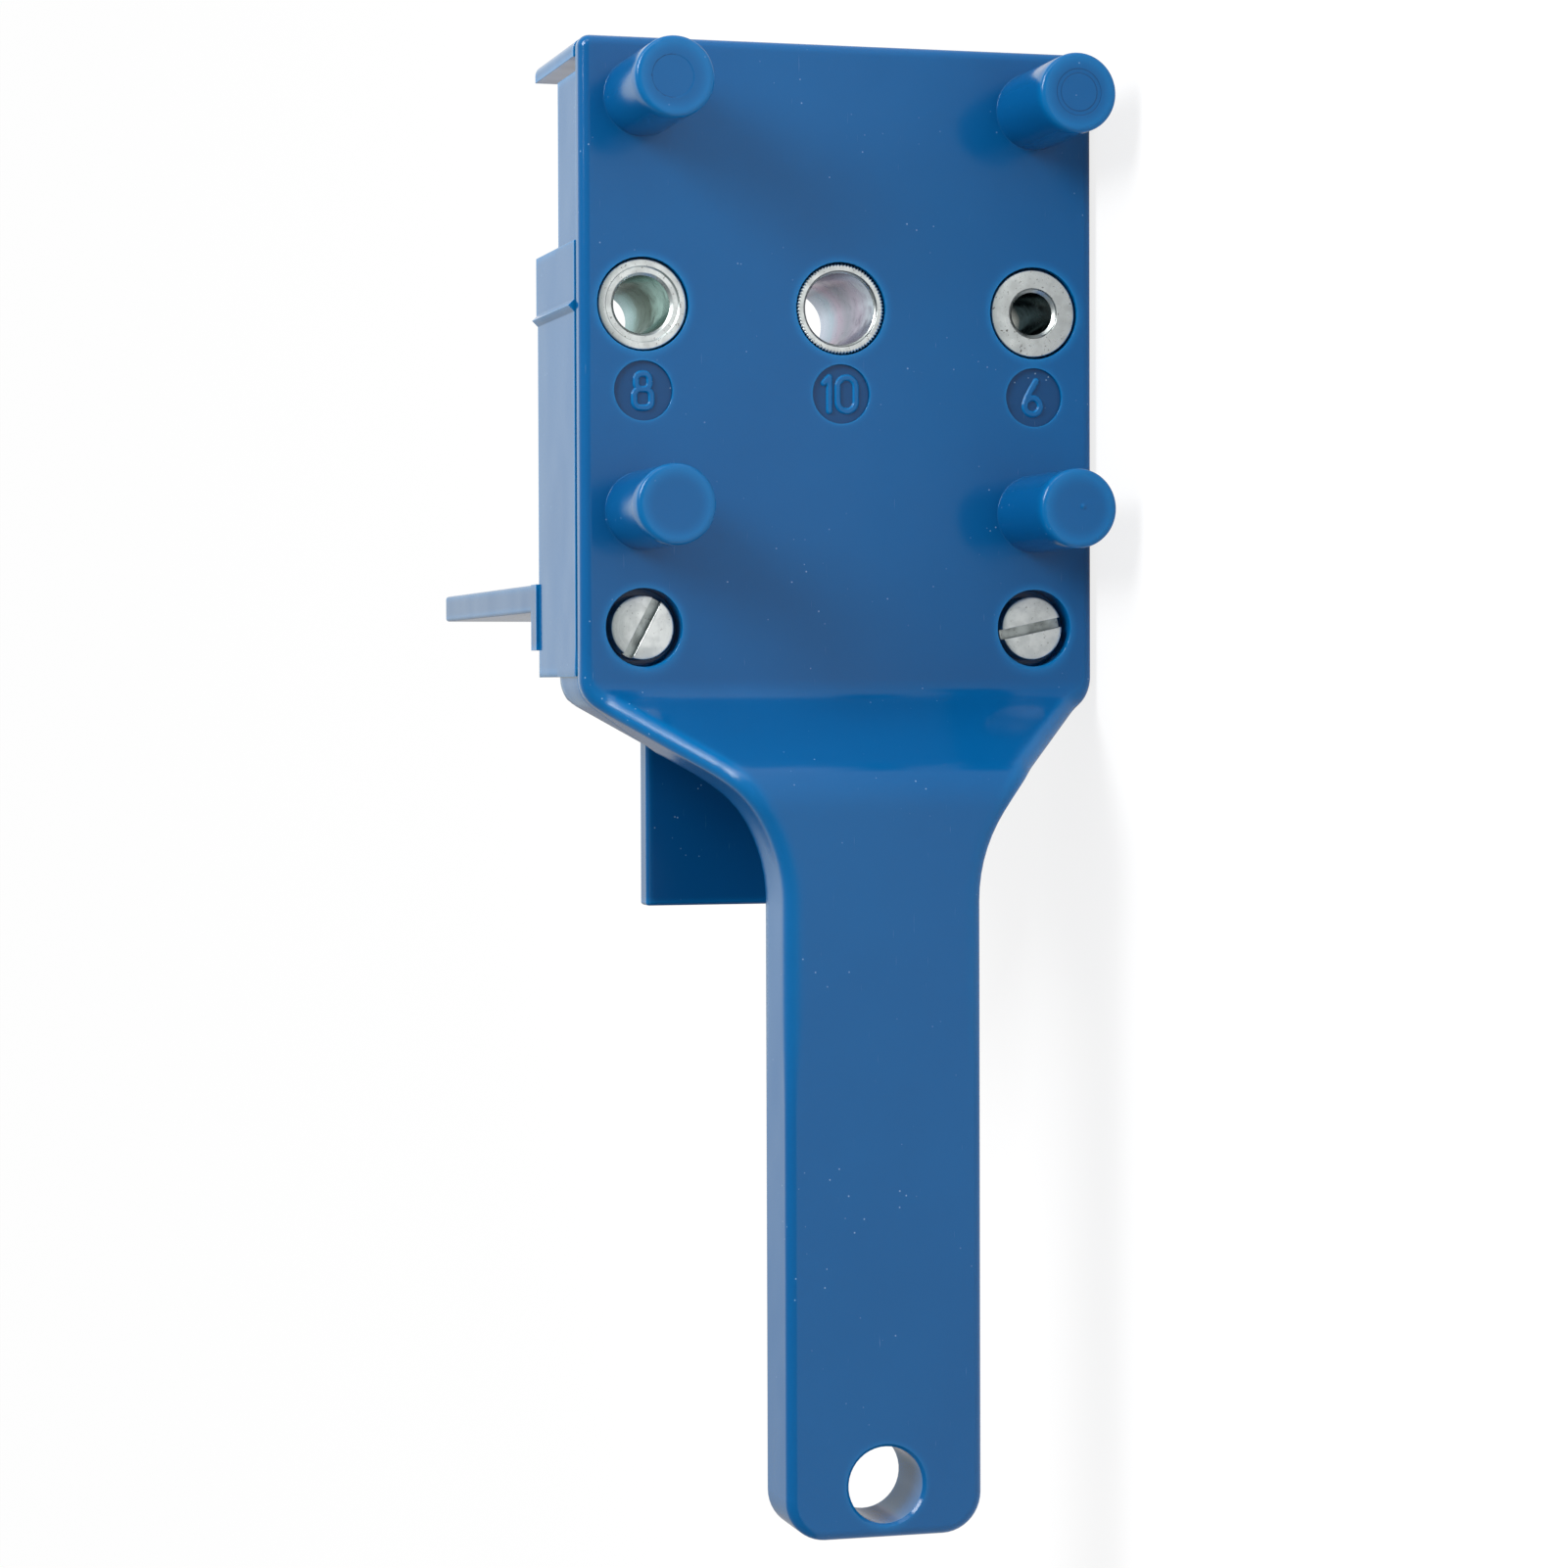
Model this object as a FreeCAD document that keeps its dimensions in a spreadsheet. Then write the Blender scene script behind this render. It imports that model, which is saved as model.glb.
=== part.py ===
"""Self-centring drill guide for dowel holes, as a parametric document.

The guide lies on its right side. X runs along it, with the head at +X and the handle
at -X. Y runs from the operator's side (-Y) towards the work (+Y). Z runs across it.
The origin is where the axis of the middle bush meets the front face of the plate.
"""
import FreeCAD, Part
import os
import re
import Sketcher

# Driving dimensions in millimetres
SIZES = {
    # Head plate, with the pegs and bushes on one grid
    "plate_width": 74.4,
    "plate_thickness": 4.0,
    "head_corner": 1.6,
    "grid_inset": 8.8,
    "grid_headroom": 8.4,
    "peg_diameter": 10.9,
    "peg_length": 19.0,
    "peg_edge": 0.6,
    "disc_drop": 11.9,
    "disc_diameter": 8.3,
    "disc_sink": 0.45,
    # Drill bushes
    "bush_outer": 13.0,
    "bush_sink": 0.3,
    "bush_edge": 0.4,
    "bore_small": 6.0,
    "bore_medium": 8.0,
    "bore_large": 10.0,
    "mouth_small": 0.5,
    "mouth_medium": 0.45,
    "mouth_large": 0.2,
    # Skirt, top lip and bush block behind the plate
    "skirt_depth": 15.85,
    "skirt_inset": 0.4,
    "skirt_wall": 2.5,
    "skirt_gap": 1.9,
    "lip_thickness": 2.6,
    "block_depth": 29.0,
    "block_rise": 9.0,
    "rear_step": 1.0,
    "block_wall": 2.5,
    "web_thickness": 2.0,
    "web_setback": 2.0,
    "ridge_height": 0.85,
    # Neck and handle
    "shoulder_gap": 2.8,
    "shoulder_length": 16.6,
    "shoulder_radius": 5.0,
    "neck_radius": 22.0,
    "ramp_gap": 2.4,
    "ramp_length": 11.4,
    "ramp_foot_radius": 3.0,
    "ramp_crest_radius": 7.0,
    "rear_ramp_gap": 3.8,
    "rear_ramp_length": 13.3,
    "rear_ramp_radius": 5.0,
    "handle_width": 27.6,
    "handle_lift": 20.2,
    "handle_thickness": 11.8,
    "handle_drop": 168.2,
    "handle_corner": 5.5,
    "edge_radius": 1.4,
    "hanging_drop": 161.0,
    "hanging_diameter": 10.5,
    "hanging_edge": 0.4,
    # Sliding edge stop
    "stop_overhang": 0.4,
    "shelf_drop": 37.8,
    "shelf_thickness": 4.0,
    "shelf_end": 97.8,
    "flange_height": 9.5,
    "flange_thickness": 3.6,
    "tongue_inset": 6.0,
    "tongue_thickness": 3.9,
    "tongue_drop": 84.2,
    "stop_edge": 0.5,
    "stop_travel": 29.0,
    # Clamp screws and the tapped bar behind the tongue
    "screw_rise": 2.8,
    "screw_diameter": 5.0,
    "screw_hole": 5.5,
    "screw_head": 9.0,
    "screw_head_height": 3.3,
    "screw_head_sink": 0.9,
    "screw_crown": 0.4,
    "screw_tip": 0.6,
    "slot_width": 1.4,
    "slot_depth": 1.5,
    "counterbore": 10.9,
    "eye_diameter": 10.0,
    "bar_height": 3.5,
    "bar_thickness": 3.5,
    # Clearances between the pieces
    "slide_clearance": 0.1,
    "side_clearance": 0.2,
    "thread_clearance": 0.05,
    "notch_clearance": 0.4,
    "end_clearance": 0.3,
    # How far a cutting outline runs past the material
    "overcut": 2.0,
}

# How far each slotted head is turned from the long axis, in degrees
SLOT_TURN = {"left": 28.0, "right": 78.0}

# How closely two numbers agree when edges are picked, in millimetres
TOLERANCE = 0.001

# Levels that follow from the driving dimensions, as formulas in the same sheet
LEVELS = {
    # Across the guide, from its middle
    "half_plate": "plate_width / 2",
    "half_skirt": "half_plate - skirt_inset",
    "half_hollow": "half_skirt - skirt_wall",
    "half_handle": "handle_width / 2",
    "half_stop": "half_plate + stop_overhang",
    "grid_pitch": "half_plate - grid_inset",
    "half_tongue": "grid_pitch - tongue_inset",
    "half_channel": "half_tongue + side_clearance",
    "boss_radius": "bush_outer / 2 + block_wall",
    "eye_radius": "eye_diameter / 2",
    # Along the guide, from the line of the bush axes
    "head_rise": "grid_pitch + grid_headroom",
    "lip_underside": "head_rise - lip_thickness",
    "channel_top": "shelf_drop - stop_travel - end_clearance",
    "flange_drop": "shelf_drop + flange_height",
    "screw_drop": "flange_drop - screw_rise",
    "bar_top": "flange_drop + notch_clearance",
    "block_drop": "bar_top + bar_height",
    "shoulder_drop": "block_drop + shoulder_gap",
    "neck_drop": "shoulder_drop + shoulder_length",
    "ramp_top": "block_drop + ramp_gap",
    "ramp_end": "ramp_top + ramp_length",
    "rear_ramp_top": "block_drop + rear_ramp_gap",
    "rear_ramp_end": "rear_ramp_top + rear_ramp_length",
    # Through its depth, from the front face of the plate
    "back": "block_depth - rear_step",
    "tongue_back": "back - slide_clearance",
    "tongue_front": "tongue_back - tongue_thickness",
    "flange_front": "back + slide_clearance",
    "flange_back": "flange_front + flange_thickness",
    "screw_seat": "screw_head_sink + screw_head_height",
    "bar_back": "back + bar_thickness",
    "handle_back": "handle_thickness - handle_lift",
}

doc = FreeCAD.newDocument("drill_guide")
sheet = doc.addObject("Spreadsheet::Sheet", "sizes")
cells = dict(SIZES)
cells.update({alias: "=" + formula for alias, formula in LEVELS.items()})
for row, (alias, content) in enumerate(cells.items(), start=1):
    sheet.set("A%d" % row, alias)
    sheet.set("B%d" % row, str(content))
    sheet.setAlias("B%d" % row, alias)
doc.recompute()


def from_sheet(word):
    """A word of a formula, or the cell that it names."""
    return "sizes." + word.group() if word.group() in cells else word.group()


def named(formula):
    """The formula with each size read from the sheet."""
    return re.sub(r"[a-z_]+", from_sheet, formula)


def value(formula):
    """What a formula over the sizes comes to, in millimetres."""
    return float(sheet.evalExpression(named(formula)))


# Sketches, pads and pockets that are bound to the sheet

def new_body(name):
    """An empty body whose label is the node's name."""
    body = doc.addObject("PartDesign::Body", name)
    body.Label = name
    return body


def new_sketch(body, name, role, level="0"):
    """A sketch on one of the body's own planes, moved along the plane's normal."""
    plane = next(item for item in body.Origin.OriginFeatures if item.Role == role)
    sketch = body.newObject("Sketcher::SketchObject", name + "_sketch")
    sketch.AttachmentSupport = [(plane, "")]
    sketch.MapMode = "FlatFace"
    sketch.setExpression("AttachmentOffset.Base.z", named(level))
    return sketch


def bind(sketch, constraint, formula):
    """Add a constraint whose size is a formula."""
    index = sketch.addConstraint(constraint)
    sketch.setExpression("Constraints[%d]" % index, named(formula))


def pin(sketch, edge, point, place):
    """Hold one point of an edge at a place given by two formulas."""
    for kind, formula in zip(("DistanceX", "DistanceY"), place):
        bind(sketch, Sketcher.Constraint(kind, edge, point, value(formula)), formula)


def draw_outline(sketch, corners):
    """A closed outline of straight edges through its corners."""
    first = sketch.GeometryCount
    count = len(corners)
    points = [FreeCAD.Vector(value(along), value(up), 0) for along, up in corners]
    for number in range(count):
        sketch.addGeometry(Part.LineSegment(points[number], points[(number + 1) % count]), False)
    for number, corner in enumerate(corners):
        after = first + (number + 1) % count
        sketch.addConstraint(Sketcher.Constraint("Coincident", first + number, 2, after, 1))
        pin(sketch, first + number, 1, corner)


def draw_circle(sketch, along, up, radius):
    """A circle about a centre given by two formulas."""
    centre = FreeCAD.Vector(value(along), value(up), 0)
    circle = Part.Circle(centre, FreeCAD.Vector(0, 0, 1), value(radius))
    edge = sketch.addGeometry(circle, False)
    pin(sketch, edge, 3, (along, up))
    bind(sketch, Sketcher.Constraint("Radius", edge, value(radius)), radius)


def rectangle(low_x, high_x, low_z, high_z):
    """The four corners between two places along the guide and two across it."""
    return [(low_x, low_z), (high_x, low_z), (high_x, high_z), (low_x, high_z)]


def across(low_x, high_x, half):
    """A rectangle that is the same on both sides of the middle."""
    return rectangle(low_x, high_x, "-(%s)" % half, half)


def through_depth(kind, body, name, start, finish, outlines=(), circles=()):
    """A pad or pocket from one depth to a greater one."""
    sketch = new_sketch(body, name, "XZ_Plane", "-(%s)" % start)
    for corners in outlines:
        draw_outline(sketch, corners)
    for along, up, radius in circles:
        draw_circle(sketch, along, up, radius)
    feature = body.newObject("PartDesign::" + kind, name)
    feature.Profile = sketch
    feature.Reversed = kind == "Pad"
    feature.setExpression("Length", named("(%s) - (%s)" % (finish, start)))
    doc.recompute()
    return feature


def pad(*placing, **shapes):
    """Material between two depths."""
    return through_depth("Pad", *placing, **shapes)


def pocket(*placing, **shapes):
    """A cut between two depths."""
    return through_depth("Pocket", *placing, **shapes)


def pad_across(body, name, half, outlines):
    """Material that is the same on both sides of the middle, seen from the side."""
    sketch = new_sketch(body, name, "XY_Plane")
    for corners in outlines:
        draw_outline(sketch, corners)
    feature = body.newObject("PartDesign::Pad", name)
    feature.Profile = sketch
    feature.SideType = "Symmetric"
    feature.setExpression("Length", named("2 * (%s)" % half))
    doc.recompute()
    return feature


def combine(kind, body, name, other):
    """Fuse another body on, or keep only what lies inside it as well."""
    feature = body.newObject("PartDesign::Boolean", name)
    feature.Type = kind
    feature.setObjects([other])
    doc.recompute()
    return feature


def dress(kind, body, name, size, edges):
    """Round or bevel the edges of the body that a test picks."""
    base = body.Tip
    picked = ["Edge%d" % (number + 1) for number, edge in enumerate(base.Shape.Edges) if edges(edge)]
    feature = body.newObject("PartDesign::" + kind, name)
    feature.Base = (base, picked)
    feature.setExpression("Radius" if kind == "Fillet" else "Size", named(size))
    doc.recompute()
    return feature


# Tests that pick edges

def near(number, other):
    """Whether two numbers are the same size for this purpose."""
    return abs(number - other) < TOLERANCE


def edge_along_depth(*places):
    """Edges that run along Y through one of the places, given as X and half width."""
    spots = [(value(along), value(half)) for along, half in places]

    def test(edge):
        box = edge.BoundBox
        straight = near(box.XLength, 0) and near(box.ZLength, 0)
        return straight and any(near(box.XMin, x) and near(abs(box.ZMin), z) for x, z in spots)
    return test


def edge_across(along, depth):
    """Edges that run along Z at one place in the side view."""
    spot = (value(along), value(depth))

    def test(edge):
        box = edge.BoundBox
        straight = near(box.XLength, 0) and near(box.YLength, 0)
        return straight and near(box.XMin, spot[0]) and near(box.YMin, spot[1])
    return test


def rim_at(depth, radius):
    """Circles of one radius at one depth."""
    spot = (value(depth), value(radius))

    def test(edge):
        flat = near(edge.BoundBox.YLength, 0) and near(edge.BoundBox.YMin, spot[0])
        return flat and isinstance(edge.Curve, Part.Circle) and near(edge.Curve.Radius, spot[1])
    return test


def edge_beyond(limit, place, facing):
    """Edges that reach past a place, on its lower (-1) or its upper (+1) side."""
    level = value(place)

    def test(edge):
        return (getattr(edge.BoundBox, limit) - level) * facing > TOLERANCE
    return test


def middle_normal(face):
    """The outward direction of a face at the middle of its parameters."""
    low_u, high_u, low_v, high_v = face.ParameterRange
    return face.normalAt((low_u + high_u) / 2, (low_v + high_v) / 2)


def edge_of_profile(shape, facing, reach):
    """Edges below a place along the guide, between a side and a face that looks
    forwards (-1) or backwards (+1)."""
    highest = value(reach) + TOLERANCE
    sides = []
    fronts = []
    for face in shape.Faces:
        normal = middle_normal(face)
        if near(normal.y, 0):
            sides.append(face)
        elif near(normal.z, 0) and normal.y * facing > 0:
            fronts.append(face)

    def borders(edge, faces):
        return any(edge.isSame(other) for face in faces for other in face.Edges)

    def test(edge):
        return edge.BoundBox.XMax < highest and borders(edge, sides) and borders(edge, fronts)
    return test


# Moulded body: plate, pegs, skirt, lip, bush block, neck and handle in one piece

def front_outline(half, top, bottom):
    """Half widths along the head, its taper and, where it is wanted, the handle."""
    share = "(%s - half_handle) / (half_plate - half_handle)" % half
    taper_end = "-(shoulder_drop + shoulder_length * %s)" % share
    right = [(top, half), ("-shoulder_drop", half), (taper_end, "half_handle")]
    if bottom:
        right.append((bottom, "half_handle"))
    left = [(along, "-(%s)" % up) for along, up in reversed(right)]
    return right + left


def make_side_form(name):
    """The head, neck and handle seen from the side, wider than the guide."""
    body = new_body(name)
    pad_across(body, name + "_outline", "half_plate + overcut", [[
        ("head_rise + overcut", "0"),
        ("-ramp_top", "0"),
        ("-ramp_end", "-handle_lift"),
        ("-(handle_drop + overcut)", "-handle_lift"),
        ("-(handle_drop + overcut)", "handle_back"),
        ("-rear_ramp_end", "handle_back"),
        ("-rear_ramp_top", "skirt_depth"),
        ("head_rise + overcut", "skirt_depth"),
    ]])
    dress("Fillet", body, name + "_foot", "ramp_foot_radius", edge_across("-ramp_top", "0"))
    dress("Fillet", body, name + "_crest", "ramp_crest_radius", edge_across("-ramp_end", "-handle_lift"))
    dress("Fillet", body, name + "_rear", "rear_ramp_radius", edge_across("-rear_ramp_end", "handle_back"))
    return body


def make_skirt():
    """The head behind the plate, a little smaller all round and still solid."""
    body = new_body("skirt")
    pad(body, "skirt_outline", "plate_thickness", "skirt_depth",
        outlines=[front_outline("half_skirt", "lip_underside - skirt_gap", None)])
    dress("Fillet", body, "skirt_shoulders", "shoulder_radius",
          edge_along_depth(("-shoulder_drop", "half_skirt")))
    combine("Common", body, "skirt_side_view", make_side_form("skirt_side"))
    dress("Fillet", body, "skirt_rim", "edge_radius", edge_of_profile(body.Tip.Shape, 1, "-rear_ramp_top"))
    return body


def make_guide_body():
    """Everything that comes out of the mould as one piece."""
    body = new_body("guide_body")
    pad(body, "front", "-(handle_lift + overcut)", "plate_thickness",
        outlines=[front_outline("half_plate", "head_rise", "-handle_drop")])
    dress("Fillet", body, "neck_sides", "neck_radius", edge_along_depth(("-neck_drop", "half_handle")))
    dress("Fillet", body, "shoulders", "shoulder_radius", edge_along_depth(("-shoulder_drop", "half_plate")))
    dress("Fillet", body, "handle_corners", "handle_corner",
          edge_along_depth(("-handle_drop", "half_handle")))
    dress("Fillet", body, "head_corners", "head_corner", edge_along_depth(("head_rise", "half_plate")))
    combine("Common", body, "side_view", make_side_form("front_side"))
    dress("Fillet", body, "front_rim", "edge_radius",
          edge_of_profile(body.Tip.Shape, -1, "head_rise + overcut"))
    dress("Fillet", body, "rear_rim", "edge_radius", edge_of_profile(body.Tip.Shape, 1, "-rear_ramp_top"))
    combine("Fuse", body, "skirt_fused", make_skirt())
    add_block(body)
    cut_cores(body)
    cut_seats(body)
    add_pegs(body)
    return body


def add_block(body):
    """The lip that meets the work, the block that holds the bushes, and the webs between."""
    pad(body, "lip", "plate_thickness", "block_depth",
        outlines=[across("lip_underside", "head_rise", "half_plate")])
    dress("Fillet", body, "lip_corners", "head_corner", edge_along_depth(("head_rise", "half_plate")))
    pad(body, "block", "plate_thickness", "block_depth",
        outlines=[across("-block_drop", "block_rise", "half_plate")])
    pocket(body, "stop_face", "back", "block_depth + overcut",
           outlines=[across("-(block_drop + overcut)", "0", "half_plate + overcut")])
    pocket(body, "hollow", "plate_thickness", "block_depth + overcut",
           outlines=[across("block_rise", "lip_underside", "half_hollow")])
    webs = []
    for middle in ("-half_hollow / 2", "0", "half_hollow / 2"):
        webs.append(rectangle("block_rise", "lip_underside",
                              "%s - web_thickness / 2" % middle, "%s + web_thickness / 2" % middle))
    pad(body, "webs", "plate_thickness", "block_depth - web_setback", outlines=webs)

    # Fine ridges on both sides mark the line of the bush axes
    ridges = []
    for side in ("", "-"):
        root = side + "half_skirt"
        crest = side + "(half_plate + ridge_height)"
        spread = "(ridge_height + skirt_inset)"
        ridges.append([("-" + spread, root), ("0", crest), (spread, root)])
    pad(body, "bush_line_ridges", "plate_thickness", "back", outlines=ridges)


def cut_cores(body):
    """Pockets that keep the walls even, and the channel in which the tongue slides."""
    upper = []
    lower = []
    side_cores = []
    lower_top = "(channel_top + block_wall)"
    lower_bottom = "(block_drop - block_wall)"
    lower_middle = "((%s + %s) / 2)" % (lower_top, lower_bottom)
    side_bottom = "(screw_drop - counterbore / 2 - block_wall)"
    side_middle = "((boss_radius + %s) / 2)" % side_bottom
    half_wall = "block_wall / 2"
    rows = [(lower_middle + " - " + half_wall, lower_top), (lower_bottom, lower_middle + " + " + half_wall)]
    side_rows = [(side_middle + " - " + half_wall, "boss_radius"),
                 (side_bottom, side_middle + " + " + half_wall)]
    for side in ("", "-"):
        upper.append(rectangle("-(channel_top - block_wall)", "block_rise - block_wall",
                               side + "boss_radius", side + "(grid_pitch - boss_radius)"))
        for bottom, top in rows:
            lower.append(rectangle("-(%s)" % bottom, "-(%s)" % top, side + "(block_wall / 2)",
                                   side + "(half_channel - block_wall / 2)"))
        for bottom, top in side_rows:
            side_cores.append(rectangle("-(%s)" % bottom, "-(%s)" % top,
                                        side + "(half_channel + block_wall)",
                                        side + "(half_plate - block_wall)"))
    pocket(body, "cores", "plate_thickness", "block_depth + overcut", outlines=upper + lower + side_cores)
    pocket(body, "tongue_channel", "tongue_front - slide_clearance", "block_depth + overcut",
           outlines=[across("-(block_drop + overcut)", "-channel_top", "half_channel")])


def cut_seats(body):
    """Holes for the bushes and screws, the recessed discs and the hanging hole."""
    places = ("grid_pitch", "0", "-grid_pitch")
    pocket(body, "bush_seats", "-overcut", "block_depth + overcut",
           circles=[("0", place, "bush_outer / 2") for place in places])
    pocket(body, "size_discs", "-overcut", "disc_sink",
           circles=[("-disc_drop", place, "disc_diameter / 2") for place in places])
    screws = ("grid_pitch", "-grid_pitch")
    pocket(body, "screw_holes", "-overcut", "block_depth + overcut",
           circles=[("-screw_drop", place, "screw_hole / 2") for place in screws])
    pocket(body, "counterbores", "-overcut", "screw_seat",
           circles=[("-screw_drop", place, "counterbore / 2") for place in screws])
    pocket(body, "hanging_hole", "-(handle_lift + overcut)", "0",
           circles=[("-hanging_drop", "0", "hanging_diameter / 2")])
    for name, depth in (("front_rim_of_hole", "-handle_lift"), ("rear_rim_of_hole", "handle_back")):
        dress("Chamfer", body, name, "hanging_edge", rim_at(depth, "hanging_diameter / 2"))


def add_pegs(body):
    """Four pegs that straddle the edge of a board; each outer bush is midway between two."""
    ends = [(along, up) for along in ("grid_pitch", "-grid_pitch") for up in ("grid_pitch", "-grid_pitch")]
    pad(body, "pegs", "-peg_length", "0", circles=[(along, up, "peg_diameter / 2") for along, up in ends])
    dress("Chamfer", body, "peg_ends", "peg_edge", rim_at("-peg_length", "peg_diameter / 2"))


# Drill bushes: hardened sleeves pressed into the block

def make_bush(name, place, bore, mouth):
    """One turned sleeve, bevelled outside and countersunk at both mouths."""
    body = new_body(name)
    sketch = new_sketch(body, name + "_half", "XY_Plane")
    outer = "bush_outer / 2"
    inner = bore + " / 2"
    draw_outline(sketch, [
        ("%s + %s" % (inner, mouth), "bush_sink"),
        (outer + " - bush_edge", "bush_sink"),
        (outer, "bush_sink + bush_edge"),
        (outer, "back - bush_edge"),
        (outer + " - bush_edge", "back"),
        ("%s + %s" % (inner, mouth), "back"),
        (inner, "back - " + mouth),
        (inner, "bush_sink + " + mouth),
    ])
    sleeve = body.newObject("PartDesign::Revolution", name + "_sleeve")
    sleeve.Profile = sketch
    sleeve.ReferenceAxis = (sketch, ["V_Axis"])
    sleeve.Angle = 360
    body.setExpression("Placement.Base.z", named(place))
    doc.recompute()
    return body


# Clamp: two slotted screws draw a tapped bar against the back of the tongue

def make_screw(name, place, turn):
    """A slotted cheese-head screw that stands with its own axis on the origin's."""
    body = new_body(name)
    pad(body, name + "_shank", "screw_seat", "bar_back", circles=[("0", "0", "screw_diameter / 2")])
    dress("Chamfer", body, name + "_tip", "screw_tip", rim_at("bar_back", "screw_diameter / 2"))
    pad(body, name + "_head", "screw_head_sink", "screw_seat", circles=[("0", "0", "screw_head / 2")])
    dress("Chamfer", body, name + "_crown", "screw_crown", rim_at("screw_head_sink", "screw_head / 2"))
    pocket(body, name + "_slot", "screw_head_sink - overcut", "screw_head_sink + slot_depth",
           outlines=[across("-screw_head", "screw_head", "slot_width / 2")])
    body.Placement = FreeCAD.Placement(FreeCAD.Vector(), FreeCAD.Rotation(FreeCAD.Vector(0, 1, 0), turn))
    body.setExpression("Placement.Base.x", named("-screw_drop"))
    body.setExpression("Placement.Base.z", named(place))
    doc.recompute()
    return body


def make_clamp_bar():
    """A steel bar under the shelf, with a tapped eye at each end."""
    body = new_body("clamp_bar")
    pad(body, "bar", "back", "bar_back",
        outlines=[across("-block_drop", "-bar_top", "grid_pitch + eye_radius")])
    lugs = []
    for side in ("", "-"):
        lugs.append(rectangle("-block_drop", "-screw_drop", side + "(grid_pitch - eye_radius)",
                              side + "(grid_pitch + eye_radius)"))
    pad(body, "lugs", "back", "bar_back", outlines=lugs)
    screws = ("grid_pitch", "-grid_pitch")
    pad(body, "eyes", "back", "bar_back",
        circles=[("-screw_drop", place, "eye_radius") for place in screws])
    pocket(body, "tapped_holes", "back - overcut", "bar_back + overcut",
           circles=[("-screw_drop", place, "screw_diameter / 2 + thread_clearance") for place in screws])
    return body


# Edge stop: shelf, flange and tongue in one moulding

def make_edge_stop():
    """The shelf that rests on a board's face, and the tongue that slides in the block."""
    body = new_body("edge_stop")
    pad(body, "tongue", "tongue_front", "tongue_back",
        outlines=[across("-tongue_drop", "-shelf_drop", "half_tongue")])
    dress("Fillet", body, "tongue_edges", "stop_edge", edge_beyond("XMin", "-flange_drop", -1))
    pad(body, "tongue_root", "tongue_front", "flange_front",
        outlines=[across("-flange_drop", "-shelf_drop", "half_tongue")])
    pad(body, "shelf", "flange_front", "shelf_end",
        outlines=[across("-(shelf_drop + shelf_thickness)", "-shelf_drop", "half_stop")])
    dress("Fillet", body, "shelf_edges", "stop_edge", edge_beyond("YMax", "flange_back", 1))
    pad(body, "flange", "flange_front", "flange_back",
        outlines=[across("-flange_drop", "-shelf_drop", "half_stop")])
    radius = "(eye_radius + notch_clearance)"
    screws = ("grid_pitch", "-grid_pitch")
    pocket(body, "notch_tops", "flange_front", "flange_back",
           circles=[("-screw_drop", place, radius) for place in screws])
    sides = []
    for place in screws:
        sides.append(rectangle("-(flange_drop + overcut)", "-screw_drop",
                               "%s - %s" % (place, radius), "%s + %s" % (place, radius)))
    pocket(body, "notch_sides", "flange_front", "flange_back", outlines=sides)
    return body


def write_parts(bodies):
    """Check every object of the document, then write each sub-part to its own file."""
    for item in doc.Objects:
        if "Invalid" in item.State or "Error" in item.State:
            raise RuntimeError("%s did not build: %s" % (item.Label, item.State))
    for body in bodies:
        if body.Shape.isNull() or not body.Shape.isValid():
            raise RuntimeError("%s has no valid shape" % body.Label)
    os.makedirs("parts", exist_ok=True)
    for body in bodies:
        body.Shape.exportStep("parts/%s.step" % body.Label)
        print("%-20s %10.1f mm3  %d solids" % (body.Label, body.Shape.Volume, len(body.Shape.Solids)))


parts = [
    make_guide_body(),
    make_bush("bush_small", "-grid_pitch", "bore_small", "mouth_small"),
    make_bush("bush_medium", "grid_pitch", "bore_medium", "mouth_medium"),
    make_bush("bush_large", "0", "bore_large", "mouth_large"),
    make_screw("clamp_screw_left", "grid_pitch", SLOT_TURN["left"]),
    make_screw("clamp_screw_right", "-grid_pitch", SLOT_TURN["right"]),
    make_clamp_bar(),
    make_edge_stop(),
]
doc.recompute()
write_parts(parts)
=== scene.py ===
"""Looks of a self-centring drill guide: a blue moulding with steel bushes and a sliding stop."""
import math

import bpy
import numpy as np
from mathutils import Matrix, Vector


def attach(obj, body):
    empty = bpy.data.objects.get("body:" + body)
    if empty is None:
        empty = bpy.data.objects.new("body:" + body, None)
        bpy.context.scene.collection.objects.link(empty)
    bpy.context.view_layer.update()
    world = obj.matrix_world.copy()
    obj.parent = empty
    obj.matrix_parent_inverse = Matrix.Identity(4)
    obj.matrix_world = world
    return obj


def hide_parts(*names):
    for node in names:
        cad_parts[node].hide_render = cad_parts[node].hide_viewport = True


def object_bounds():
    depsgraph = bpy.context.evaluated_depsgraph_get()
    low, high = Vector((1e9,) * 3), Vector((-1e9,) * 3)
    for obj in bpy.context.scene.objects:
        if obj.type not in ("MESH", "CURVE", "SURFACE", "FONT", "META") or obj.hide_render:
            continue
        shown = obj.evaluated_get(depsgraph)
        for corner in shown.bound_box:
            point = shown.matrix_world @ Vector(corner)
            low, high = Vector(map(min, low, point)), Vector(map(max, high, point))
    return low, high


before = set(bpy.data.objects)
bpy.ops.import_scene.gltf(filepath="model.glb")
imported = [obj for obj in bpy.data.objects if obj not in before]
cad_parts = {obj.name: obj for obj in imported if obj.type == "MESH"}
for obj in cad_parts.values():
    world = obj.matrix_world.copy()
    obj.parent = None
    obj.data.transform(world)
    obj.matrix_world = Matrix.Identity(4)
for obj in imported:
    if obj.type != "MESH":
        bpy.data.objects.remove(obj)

cad_low, cad_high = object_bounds()


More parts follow.
